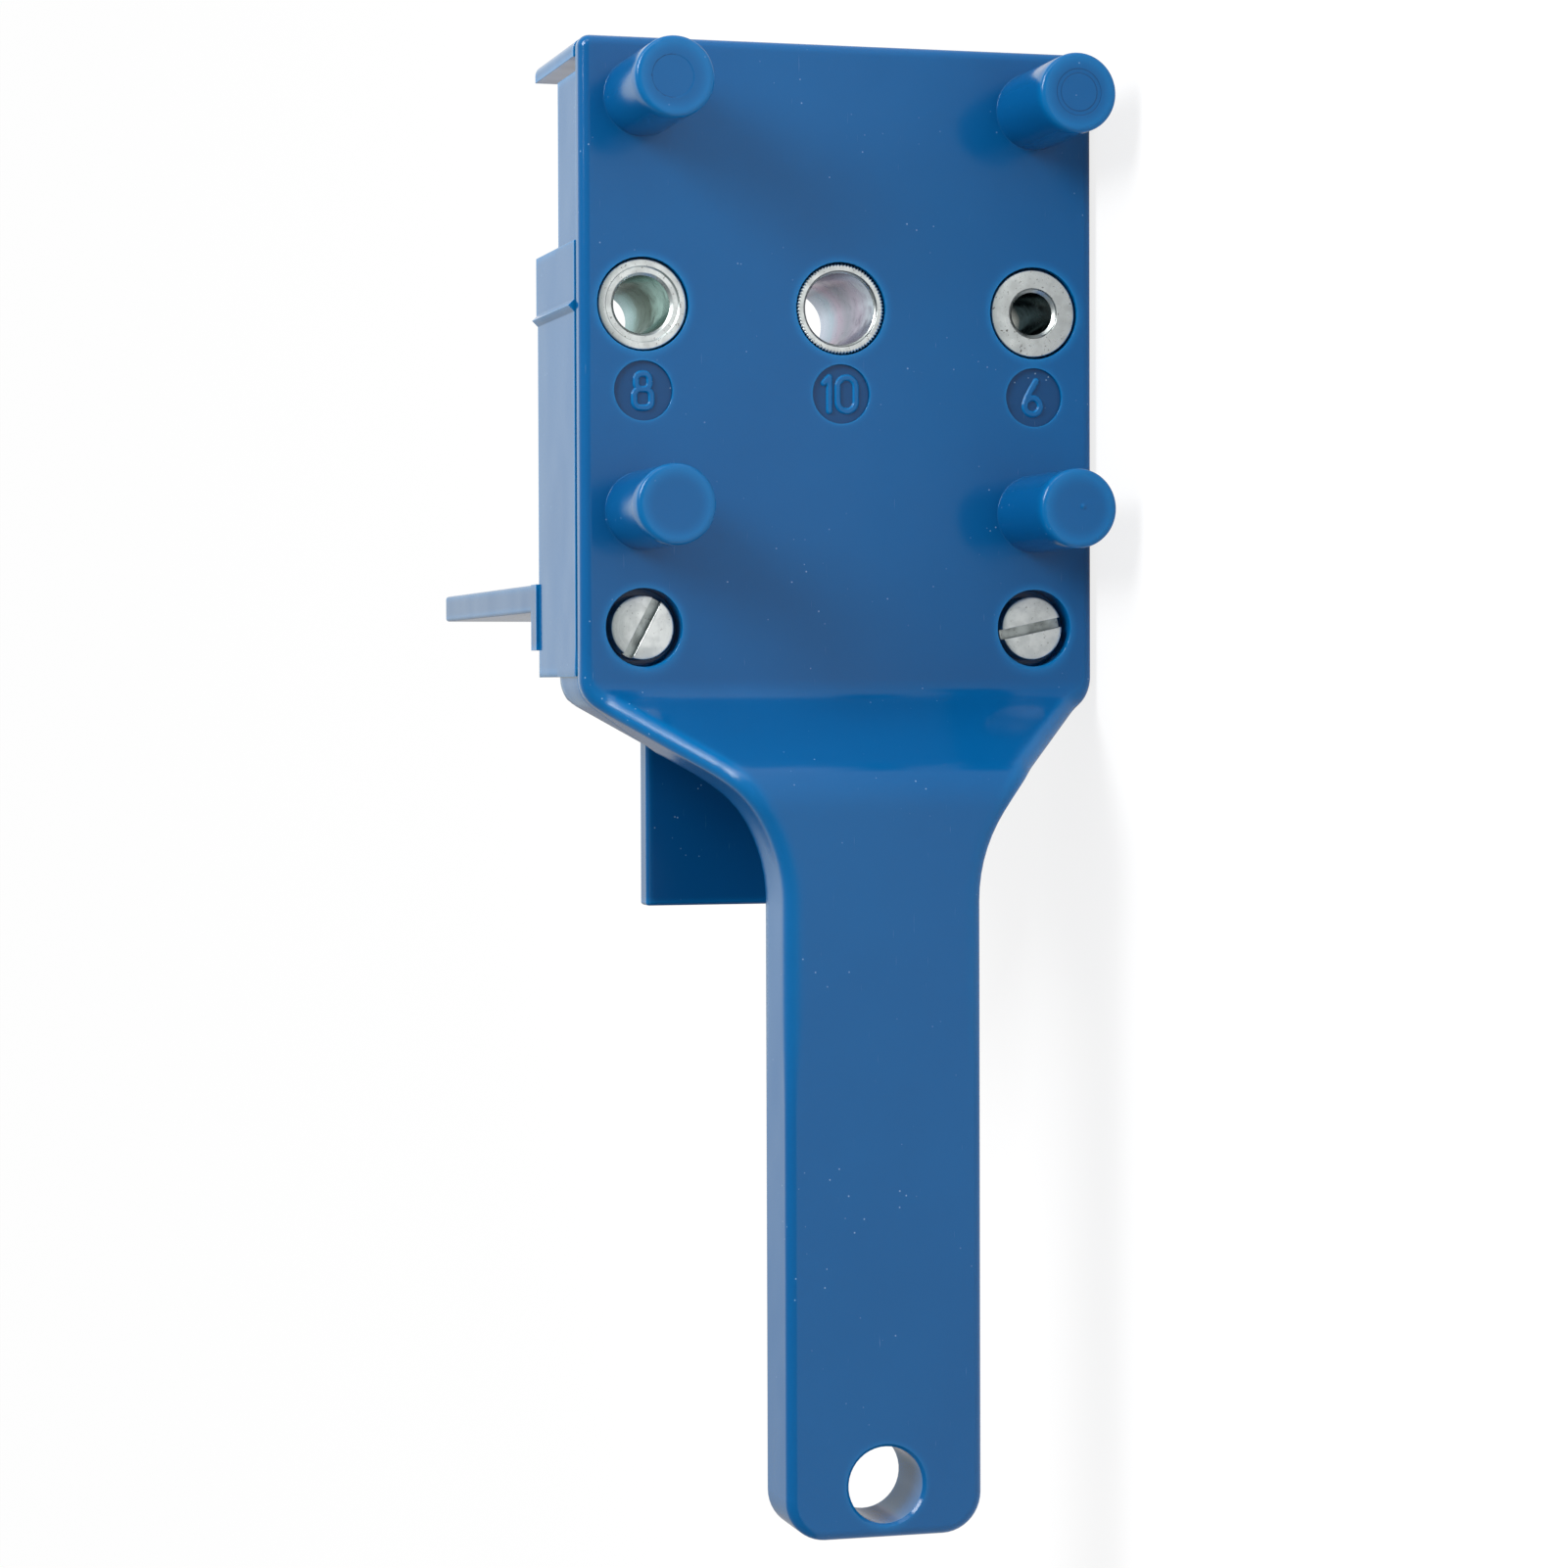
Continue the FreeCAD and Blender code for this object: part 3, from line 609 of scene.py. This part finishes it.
# Painted shade and reflection at glancing angles: each bore's edge tint dims and colours its shine.
painted_bore_edge_tint = {"small": (0.30, 0.33, 0.34), "medium": (0.44, 0.52, 0.49), "large": (0.66, 0.64, 0.68)}


def turned_piece(name, profile, axis, segments, radius_change=None):
    """A closed section in mm, as (radius, depth), spun round an axis parallel to Y."""
    points = []
    for turn in np.linspace(0.0, 2.0 * math.pi, segments, endpoint=False):
        for radius, depth in profile:
            wide = radius + (radius_change(turn, radius, depth) if radius_change else 0.0)
            points.append((axis[0] + wide * MM * math.cos(turn), depth * MM,
                           axis[1] + wide * MM * math.sin(turn)))
    count = len(profile)
    faces = []
    for k in range(segments):
        here = k * count
        after = (k + 1) % segments * count
        for step in range(count):
            next_step = (step + 1) % count
            faces.append((here + step, here + next_step, after + next_step, after + step))
    piece = skin_object(name, points, faces)
    piece.data.set_sharp_from_angle(angle=SHARP_ANGLE)
    return piece


def knurl(turn, radius, depth):
    """How much nearer to the axis a point of the knurled collar lies."""
    collar_end = BUSH_FRONT + (COLLAR_LENGTH + COLLAR_STEP) / 2.0
    on_collar = radius > BUSH_RADIUS - COLLAR_BAND and depth < collar_end
    return -KNURL_HALF_DEPTH * (1.0 + math.cos(KNURLS * turn)) if on_collar else 0.0


def lathe_marks_group():
    """Rings about an axis parallel to Y, with stains, rubbed streaks, pits and the depth itself."""
    group, start, end = new_group(
        "lathe_marks",
        [("Axis", "NodeSocketVector", (0.0, 0.0, 0.0)), ("Pitch", "NodeSocketFloat", 0.35 * MM),
         ("Patch", "NodeSocketFloat", STAIN_SIZE)],
        [("Ring", "NodeSocketFloat"), ("Stain", "NodeSocketFloat"), ("Scratch", "NodeSocketFloat"),
         ("Depth", "NodeSocketFloat"), ("Pit", "NodeSocketFloat")])
    place = add_node(group, "ShaderNodeTexCoord")
    pits = add_node(group, "ShaderNodeTexNoise", Scale=PIT_SCALE, Detail=2.0, Roughness=0.7)
    pitted = add_range(group, PIT_CUT)
    parts = add_node(group, "ShaderNodeSeparateXYZ")
    offset = add_node(group, "ShaderNodeVectorMath", {"operation": "SUBTRACT"})
    flat = add_node(group, "ShaderNodeVectorMath", {"operation": "MULTIPLY"})
    flat.inputs[1].default_value = (1.0, 0.0, 1.0)
    reach = add_node(group, "ShaderNodeVectorMath", {"operation": "LENGTH"})
    steps = add_math(group, "DIVIDE")
    rings = add_node(group, "ShaderNodeTexNoise", {"noise_dimensions": "1D"}, Scale=1.0, Detail=2.0)
    spread = add_math(group, "DIVIDE", first=1.0)
    stain = add_node(group, "ShaderNodeTexNoise", Detail=3.0, Roughness=0.5)
    streaks = add_node(group, "ShaderNodeMapping", Rotation=RUB_TURN, Scale=RUB_STRETCH)
    scratch = add_node(group, "ShaderNodeTexNoise", Scale=4.0, Detail=2.0)
    links = group.links
    for texture in (parts, pits, stain, streaks):
        links.new(place.outputs["Object"], texture.inputs["Vector"])
    links.new(pits.outputs["Fac"], pitted.inputs["Value"])
    links.new(place.outputs["Object"], offset.inputs[0])
    links.new(start.outputs["Axis"], offset.inputs[1])
    links.new(offset.outputs["Vector"], flat.inputs[0])
    links.new(flat.outputs["Vector"], reach.inputs[0])
    links.new(reach.outputs["Value"], steps.inputs[0])
    links.new(start.outputs["Pitch"], steps.inputs[1])
    links.new(steps.outputs["Value"], rings.inputs["W"])
    links.new(start.outputs["Patch"], spread.inputs[1])
    links.new(spread.outputs["Value"], stain.inputs["Scale"])
    links.new(streaks.outputs["Vector"], scratch.inputs["Vector"])
    links.new(rings.outputs["Fac"], end.inputs["Ring"])
    links.new(stain.outputs["Fac"], end.inputs["Stain"])
    links.new(scratch.outputs["Fac"], end.inputs["Scratch"])
    links.new(parts.outputs["Y"], end.inputs["Depth"])
    links.new(pitted.outputs["Result"], end.inputs["Pit"])
    return group


lathe_marks = lathe_marks_group()


def plated_colour(tree, marks, light, dull):
    """Zinc plating with dull stains and dark pits."""
    tone = add_node(tree, "ShaderNodeMix", {"data_type": "RGBA"}, A=light, B=dull)
    stained = add_range(tree, STAIN_CUT)
    pitted = add_node(tree, "ShaderNodeMix", {"data_type": "RGBA"}, B=PIT_COLOUR)
    tree.links.new(marks.outputs["Stain"], stained.inputs["Value"])
    tree.links.new(stained.outputs["Result"], tone.inputs["Factor"])
    tree.links.new(tone.outputs["Result"], pitted.inputs["A"])
    tree.links.new(marks.outputs["Pit"], pitted.inputs["Factor"])
    return pitted.outputs["Result"]


def painted_bore_shading(tree, marks, painted_bands):
    """Painted reflection and shade: bands of pale, dark, brown, green and violet along a bore."""
    along = add_range(tree, PAINTED_BAND_SPAN)
    wander = add_math(tree, "MULTIPLY_ADD", second=PAINTED_BAND_WANDER)
    painted_ramp = add_node(tree, "ShaderNodeValToRGB")
    tree.links.new(marks.outputs["Depth"], along.inputs["Value"])
    tree.links.new(marks.outputs["Stain"], wander.inputs[0])
    tree.links.new(along.outputs["Result"], wander.inputs[2])
    tree.links.new(wander.outputs["Value"], painted_ramp.inputs["Fac"])
    bands = painted_ramp.color_ramp.elements
    bands[0].color = (*painted_bands[0][1], 1.0)
    bands[1].position = painted_bands[-1][0]
    bands[1].color = (*painted_bands[-1][1], 1.0)
    for share, colour in painted_bands[1:-1]:
        bands.new(share).color = (*colour, 1.0)
    return painted_ramp.outputs["Color"]


def plated_steel(name, light, dull, axis, pitch, roughness, depth, painted_bands=(), glancing=(1.0, 1.0, 1.0)):
    """Zinc-plated steel with lathe marks under the plating, or a bore's painted reflection and shade."""
    material, tree, shader = new_material(name)
    links = tree.links
    marks = place_group(tree, lathe_marks, Axis=axis, Pitch=pitch, Patch=STAIN_SIZE)
    edges = place_group(tree, rounded_edges, Radius=STEEL_EDGE)
    colour = painted_bore_shading(tree, marks, painted_bands) if painted_bands else plated_colour(tree, marks, light, dull)
    rough = add_range(tree, ROUGH_SPAN, (roughness, roughness + STAIN_ROUGHNESS))
    relief = add_math(tree, "MULTIPLY_ADD", second=RUB_SHARE)
    bump = add_node(tree, "ShaderNodeBump", Strength=RELIEF_STRENGTH, Distance=depth)
    links.new(colour, shader.inputs["Base Color"])
    links.new(marks.outputs["Stain"], rough.inputs["Value"])
    links.new(rough.outputs["Result"], shader.inputs["Roughness"])
    links.new(marks.outputs["Scratch"], relief.inputs[0])
    links.new(marks.outputs["Ring"], relief.inputs[2])
    links.new(relief.outputs["Value"], bump.inputs["Height"])
    links.new(edges.outputs["Normal"], bump.inputs["Normal"])
    links.new(bump.outputs["Normal"], shader.inputs["Normal"])
    shader.inputs["Specular Tint"].default_value = (*glancing, 1.0)
    shader.inputs["Metallic"].default_value = 1.0
    return material


for size, (across, bore, mouth, shoulder, front_gap, recess, knurled) in bushes.items():
    collar = BUSH_RADIUS - front_gap
    rounding = ROUNDING_SHARE * shoulder
    profile = [
        (bore + mouth, BUSH_FRONT + RECESS_DEPTH),
        (bore + mouth + recess, BUSH_FRONT + RECESS_DEPTH),
        (bore + mouth + recess + RECESS_SLOPE, BUSH_FRONT),
        (collar - shoulder, BUSH_FRONT),
        (collar - rounding, BUSH_FRONT + rounding),
        (collar, BUSH_FRONT + shoulder),
        (collar, BUSH_FRONT + COLLAR_LENGTH),
        (BUSH_RADIUS, BUSH_FRONT + COLLAR_STEP),
        (BUSH_RADIUS, BUSH_REAR - REAR_CHAMFER),
        (BUSH_RADIUS - REAR_CHAMFER, BUSH_REAR),
        (bore + REAR_MOUTH, BUSH_REAR),
        (bore, BUSH_REAR - REAR_MOUTH),
        (bore, BUSH_FRONT + RECESS_DEPTH + mouth),
    ]
    segments = KNURL_SEGMENTS if knurled else BUSH_SEGMENTS
    bush = turned_piece("bush_" + size + "_sleeve", profile, (0.0, across), segments,
                        knurl if knurled else None)
    axis = (0.0, 0.0, across)
    turned_steel = plated_steel("bush_steel_" + size, BUSH_LIGHT, BUSH_DULL, axis, **TURNED_FINISH)
    painted_bore_metal = plated_steel("painted_bore_metal_" + size, BUSH_LIGHT, BUSH_DULL, axis, **REAMED_FINISH,
                              painted_bands=painted_bore_bands[size], glancing=painted_bore_edge_tint[size])
    bush.data.materials.append(turned_steel)
    bush.data.materials.append(painted_bore_metal)
    for face in bush.data.polygons:
        reach = math.dist((face.center.x, face.center.z), (0.0, across))
        face.material_index = int(reach < (bore + BORE_TOLERANCE) * MM)
    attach(bush, "body")
    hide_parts("bush_" + size)


# Clamp screws: slotted cheese-head M5 screws, zinc plated, whose heads sit in deep counterbores.
# Half a turn with a driver frees or grips the stop.

SCREW_DROP = -44.5 * MM
HEAD_RADIUS = 4.5
HEAD_FRONT = 0.9
HEAD_SEAT = 4.2
HEAD_BEVEL = 0.35
SCREW_SEGMENTS = 64
AXIS_GAP = 0.02
SHANK_RADIUS = 2.5
SHANK_END = 31.5
SHANK_TIP = 0.6
TIP_CHAMFER = 0.5
THREAD_START = 16.0
THREAD_PITCH = 0.8
THREAD_DEPTH = 0.42
THREAD_STEP = 0.1
THREAD_TOLERANCE = 0.01
SLOT_HALF = 0.7
SLOT_DEPTH = 1.5
SLOT_CLEAR = 1.0
FLOOR_TOLERANCE = 0.05
WALL_TOLERANCE = 0.02
screw_slots = {"left": (PEG_AXIS, 28.0), "right": (-PEG_AXIS, 78.0)}
SCREW_LIGHT = (0.74, 0.77, 0.76, 1.0)
SCREW_DULL = (0.64, 0.67, 0.66, 1.0)
SCREW_FINISH = {"pitch": 0.6 * MM, "roughness": 0.30, "depth": 0.05 * MM}
# Painted shade: the slot's faces are darker than the head.
SLOT_SHADED_LIGHT = (0.50, 0.54, 0.53, 1.0)
SLOT_SHADED_DULL = (0.38, 0.41, 0.40, 1.0)
SLOT_FINISH = {"pitch": 0.6 * MM, "roughness": 0.36, "depth": 0.04 * MM}


def thread(turn, radius, depth):
    """How much nearer to the axis a point of the threaded shank lies."""
    if abs(radius - SHANK_RADIUS) > THREAD_TOLERANCE or depth < THREAD_START:
        return 0.0
    phase = (depth / THREAD_PITCH - turn / (2.0 * math.pi)) % 1.0
    runout = min(1.0, (depth - THREAD_START) / THREAD_PITCH)
    return -THREAD_DEPTH * abs(2.0 * phase - 1.0) * runout


def slot_cutter(side, across, slot_turn):
    """A block across the head, turned to the angle of the slot."""
    reach = HEAD_RADIUS + SLOT_CLEAR
    lows = (-reach, HEAD_FRONT - SLOT_CLEAR, -SLOT_HALF)
    highs = (reach, HEAD_FRONT + SLOT_DEPTH, SLOT_HALF)
    corners = [(x * MM, y * MM, z * MM) for x in (lows[0], highs[0])
               for y in (lows[1], highs[1]) for z in (lows[2], highs[2])]
    sides = [(0, 1, 3, 2), (4, 6, 7, 5), (0, 4, 5, 1), (2, 3, 7, 6), (0, 2, 6, 4), (1, 5, 7, 3)]
    mesh = bpy.data.meshes.new("slot_cutter_" + side)
    mesh.from_pydata(corners, [], sides)
    place = Matrix.Translation((SCREW_DROP, 0.0, across))
    mesh.transform(place @ Matrix.Rotation(slot_turn, 4, "Y"))
    cutter = bpy.data.objects.new("slot_cutter_" + side, mesh)
    bpy.context.scene.collection.objects.link(cutter)
    return cutter


def cut_away(piece, cutter):
    """Cut one mesh out of another and throw the cutter away."""
    cut = piece.modifiers.new("slot", "BOOLEAN")
    cut.operation = "DIFFERENCE"
    cut.solver = "EXACT"
    cut.object = cutter
    bpy.context.view_layer.update()
    evaluated = piece.evaluated_get(bpy.context.evaluated_depsgraph_get())
    finished = bpy.data.meshes.new_from_object(evaluated)
    piece.modifiers.clear()
    piece.data = finished
    finished.set_sharp_from_angle(angle=SHARP_ANGLE)
    bpy.data.objects.remove(cutter)


for side, (across, slot_degrees) in screw_slots.items():
    slot_turn = math.radians(slot_degrees)
    rounding = ROUNDING_SHARE * HEAD_BEVEL
    thread_end = SHANK_END - SHANK_TIP
    threaded = [(SHANK_RADIUS, depth) for depth in np.arange(THREAD_START, thread_end, THREAD_STEP)]
    profile = [
        (AXIS_GAP, HEAD_FRONT),
        (HEAD_RADIUS - HEAD_BEVEL, HEAD_FRONT),
        (HEAD_RADIUS - rounding, HEAD_FRONT + rounding),
        (HEAD_RADIUS, HEAD_FRONT + HEAD_BEVEL),
        (HEAD_RADIUS, HEAD_SEAT),
        (SHANK_RADIUS, HEAD_SEAT),
        *threaded,
        (SHANK_RADIUS - TIP_CHAMFER, SHANK_END),
        (AXIS_GAP, SHANK_END),
    ]
    screw = turned_piece("slotted_screw_" + side, profile, (SCREW_DROP, across), SCREW_SEGMENTS, thread)
    cut_away(screw, slot_cutter(side, across, slot_turn))
    axis = (SCREW_DROP, 0.0, across)
    head_zinc = plated_steel("screw_zinc_" + side, SCREW_LIGHT, SCREW_DULL, axis, **SCREW_FINISH)
    painted_slot_shade = plated_steel("painted_slot_shade_" + side, SLOT_SHADED_LIGHT, SLOT_SHADED_DULL, axis, **SLOT_FINISH)
    screw.data.materials.clear()
    screw.data.materials.append(head_zinc)
    screw.data.materials.append(painted_slot_shade)
    # Faces in the slot take the darker colours, as painted shade in the slot.
    for face in screw.data.polygons:
        offset = face.center - Vector(axis)
        aside = abs(offset.x * math.sin(slot_turn) + offset.z * math.cos(slot_turn))
        sunk = HEAD_FRONT + FLOOR_TOLERANCE < offset.y / MM < HEAD_FRONT + SLOT_DEPTH + FLOOR_TOLERANCE
        face.material_index = int(sunk and aside < (SLOT_HALF + WALL_TOLERANCE) * MM)
    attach(screw, "screw_" + side)
    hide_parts("clamp_screw_" + side)


# Clamp bar: a strip of mild steel behind the block, cut, rounded and tapped at both ends,
# with a dull plated finish. Its marks are straight, as rings about a far axis.

BAR_LIGHT = (0.60, 0.61, 0.60, 1.0)
BAR_DULL = (0.52, 0.53, 0.52, 1.0)
BAR_FAR_AXIS = (-300.0 * MM, 0.0, 0.0)
BAR_FINISH = {"pitch": 0.8 * MM, "roughness": 0.34, "depth": 0.05 * MM}
bar_steel = plated_steel("bar_steel", BAR_LIGHT, BAR_DULL, BAR_FAR_AXIS, **BAR_FINISH)
wear("clamp_bar", bar_steel)


# Table: a white sweep that keeps the guide's soft shadow. What shines of it in the plastic is
# painted darker close to the guide and behind its handle end: a painted shadow in the reflection.

FLOOR_HALF = 3.0
FLOOR_LEVEL = cad_low.z
FLOOR_COLOUR = (0.90, 0.90, 0.90, 1.0)
WHITE = (1.0, 1.0, 1.0, 1.0)
WHITER_REACH = (0.15, 0.60)
WHITER_SHARE = (0.82, 0.97)
FOOT_REACH = (0.03, 0.15)
FOOT_SHADOW_TONE = (0.40, 1.0)
HANDLE_END = (-0.10, 0.06)
HANDLE_END_SHADOW_TONE = (0.45, 1.0)
BEHIND = (0.0, 0.1)

floor_corners = [(x * FLOOR_HALF, y * FLOOR_HALF, FLOOR_LEVEL)
                 for x, y in ((-1, -1), (1, -1), (1, 1), (-1, 1))]
floor_mesh = bpy.data.meshes.new("floor")
floor_mesh.from_pydata(floor_corners, [], [(0, 1, 2, 3)])
floor = bpy.data.objects.new("floor", floor_mesh)
bpy.context.scene.collection.objects.link(floor)
floor_paint = bpy.data.materials.new("floor_paint")
floor_paint.use_nodes = True
tree = floor_paint.node_tree
tree.nodes.clear()
path = add_node(tree, "ShaderNodeLightPath")
seen = add_math(tree, "MAXIMUM")
seen_through = add_math(tree, "MAXIMUM")
place = add_node(tree, "ShaderNodeTexCoord")
parts = add_node(tree, "ShaderNodeSeparateXYZ")
reach = add_node(tree, "ShaderNodeVectorMath", {"operation": "LENGTH"})
whiter = add_range(tree, WHITER_REACH, WHITER_SHARE)
painted_foot_shadow = add_range(tree, FOOT_REACH, FOOT_SHADOW_TONE)
handle_end = add_range(tree, HANDLE_END, HANDLE_END_SHADOW_TONE)
behind = add_range(tree, BEHIND)
painted_rear_shadow = add_node(tree, "ShaderNodeMix", {"data_type": "FLOAT"}, A=1.0)
mirrored = add_math(tree, "MULTIPLY")
tone = add_node(tree, "ShaderNodeMix", {"data_type": "FLOAT"}, A=1.0)
glow_share = add_math(tree, "MULTIPLY")
chalk = add_node(tree, "ShaderNodeBsdfDiffuse", Color=FLOOR_COLOUR)
white = add_node(tree, "ShaderNodeEmission", Color=WHITE, Strength=1.0)
blend = add_node(tree, "ShaderNodeMixShader")
surface = add_node(tree, "ShaderNodeOutputMaterial")
links = tree.links
links.new(place.outputs["Object"], parts.inputs["Vector"])
links.new(place.outputs["Object"], reach.inputs[0])
links.new(parts.outputs["X"], handle_end.inputs["Value"])
links.new(parts.outputs["Y"], behind.inputs["Value"])
links.new(behind.outputs["Result"], painted_rear_shadow.inputs["Factor"])
links.new(handle_end.outputs["Result"], painted_rear_shadow.inputs["B"])
links.new(reach.outputs["Value"], painted_foot_shadow.inputs["Value"])
links.new(painted_foot_shadow.outputs["Result"], mirrored.inputs[0])
links.new(painted_rear_shadow.outputs["Result"], mirrored.inputs[1])
links.new(mirrored.outputs["Value"], tone.inputs["B"])
links.new(path.outputs["Is Glossy Ray"], tone.inputs["Factor"])
links.new(tone.outputs["Result"], white.inputs["Color"])
links.new(path.outputs["Is Camera Ray"], seen.inputs[0])
links.new(path.outputs["Is Glossy Ray"], seen.inputs[1])
links.new(seen.outputs["Value"], seen_through.inputs[0])
links.new(path.outputs["Is Transmission Ray"], seen_through.inputs[1])
links.new(reach.outputs["Value"], whiter.inputs["Value"])
links.new(seen_through.outputs["Value"], glow_share.inputs[0])
links.new(whiter.outputs["Result"], glow_share.inputs[1])
links.new(glow_share.outputs["Value"], blend.inputs["Fac"])
links.new(chalk.outputs["BSDF"], blend.inputs[1])
links.new(white.outputs["Emission"], blend.inputs[2])
links.new(blend.outputs["Shader"], surface.inputs["Surface"])
floor_mesh.materials.append(floor_paint)


# Light tent: an even white surround, a large soft box above and a smaller one by the head.
# What shines in the plastic is a little cooler, and dimmer overhead and towards the handle.

MIRROR_COLOUR = (0.97, 1.07, 1.08, 1.0)
TENT_SPAN = (-1.0, 0.3)
TENT_STRENGTH = (0.32, 0.78)
MIRROR_SPAN = (-1.0, 0.9)
MIRROR_STRENGTH = (0.36, 1.0)
OVERHEAD_SPAN = (0.3, 1.0)
OVERHEAD_SHARE = (1.0, 0.45)
HANDLE_SIDE_SPAN = (-0.35, -0.02)
HANDLE_SIDE_SHARE = (0.45, 1.0)

world = bpy.data.worlds.new("light_tent")
bpy.context.scene.world = world
world.use_nodes = True
tree = world.node_tree
tree.nodes.clear()
path = add_node(tree, "ShaderNodeLightPath")
seen = add_math(tree, "MAXIMUM")
direction = add_node(tree, "ShaderNodeTexCoord")
parts = add_node(tree, "ShaderNodeSeparateXYZ")
tent_level = add_range(tree, TENT_SPAN, TENT_STRENGTH)
mirror_level = add_range(tree, MIRROR_SPAN, MIRROR_STRENGTH)
overhead = add_range(tree, OVERHEAD_SPAN, OVERHEAD_SHARE)
handle_side = add_range(tree, HANDLE_SIDE_SPAN, HANDLE_SIDE_SHARE)
dimmed = add_math(tree, "MULTIPLY")
mirror_share = add_math(tree, "MULTIPLY")
tent = add_node(tree, "ShaderNodeBackground", Color=WHITE)
mirrored = add_node(tree, "ShaderNodeBackground", Color=MIRROR_COLOUR)
backdrop = add_node(tree, "ShaderNodeBackground", Color=WHITE, Strength=1.0)
gloss = add_node(tree, "ShaderNodeMixShader")
blend = add_node(tree, "ShaderNodeMixShader")
surface = add_node(tree, "ShaderNodeOutputWorld")
links = tree.links
links.new(direction.outputs["Generated"], parts.inputs["Vector"])
links.new(parts.outputs["Y"], tent_level.inputs["Value"])
links.new(parts.outputs["Y"], mirror_level.inputs["Value"])
links.new(parts.outputs["Z"], overhead.inputs["Value"])
links.new(parts.outputs["X"], handle_side.inputs["Value"])
links.new(overhead.outputs["Result"], dimmed.inputs[0])
links.new(handle_side.outputs["Result"], dimmed.inputs[1])
links.new(mirror_level.outputs["Result"], mirror_share.inputs[0])
links.new(dimmed.outputs["Value"], mirror_share.inputs[1])
links.new(tent_level.outputs["Result"], tent.inputs["Strength"])
links.new(mirror_share.outputs["Value"], mirrored.inputs["Strength"])
links.new(path.outputs["Is Glossy Ray"], gloss.inputs["Fac"])
links.new(tent.outputs["Background"], gloss.inputs[1])
links.new(mirrored.outputs["Background"], gloss.inputs[2])
links.new(path.outputs["Is Camera Ray"], seen.inputs[0])
links.new(path.outputs["Is Transmission Ray"], seen.inputs[1])
links.new(seen.outputs["Value"], blend.inputs["Fac"])
links.new(gloss.outputs["Shader"], blend.inputs[1])
links.new(backdrop.outputs["Background"], blend.inputs[2])
links.new(blend.outputs["Shader"], surface.inputs["Surface"])

# Place, size and power of each soft box, which looks at the frame's origin.
soft_boxes = {
    "soft_box_above": (Vector((0.50, -0.38, 0.86)), 0.50, 12.9),
    "soft_box_head": (Vector((0.75, -0.45, 0.30)), 0.45, 1.5),
}
for name, (place, size, power) in soft_boxes.items():
    lamp = bpy.data.lights.new(name, "AREA")
    lamp.shape = "SQUARE"
    lamp.size = size
    lamp.energy = power
    holder = bpy.data.objects.new(name, lamp)
    holder.location = place
    holder.rotation_mode = "QUATERNION"
    holder.rotation_quaternion = (-place).to_track_quat("-Z", "Y")
    bpy.context.scene.collection.objects.link(holder)


# Camera: in front of the guide and a little above it, turned on its side, so that the head
# is up in the picture.

CAMERA_PLACE = Vector((-0.05458, -0.53483, 0.15770))
CAMERA_LOOK = Vector((-0.02103, 0.96300, -0.26868)).normalized()
CAMERA_ROLL = math.radians(0.178)
CAMERA_LENS = 91.54
SENSOR_WIDTH = 36.0
head_up = Vector((1.0, 0.0, 0.0))
up = (head_up - CAMERA_LOOK * head_up.dot(CAMERA_LOOK)).normalized()
right = CAMERA_LOOK.cross(up)
turned_right = right * math.cos(CAMERA_ROLL) - up * math.sin(CAMERA_ROLL)
turned_up = up * math.cos(CAMERA_ROLL) + right * math.sin(CAMERA_ROLL)
lens = bpy.data.cameras.new("camera")
lens.lens = CAMERA_LENS
lens.sensor_width = SENSOR_WIDTH
lens.clip_start = 0.01
lens.clip_end = 20.0
camera = bpy.data.objects.new("camera", lens)
facing = Matrix((turned_right, turned_up, -CAMERA_LOOK)).transposed().to_4x4()
camera.matrix_world = Matrix.Translation(CAMERA_PLACE) @ facing
bpy.context.scene.collection.objects.link(camera)
bpy.context.scene.camera = camera
bpy.context.scene.view_settings.view_transform = "Standard"
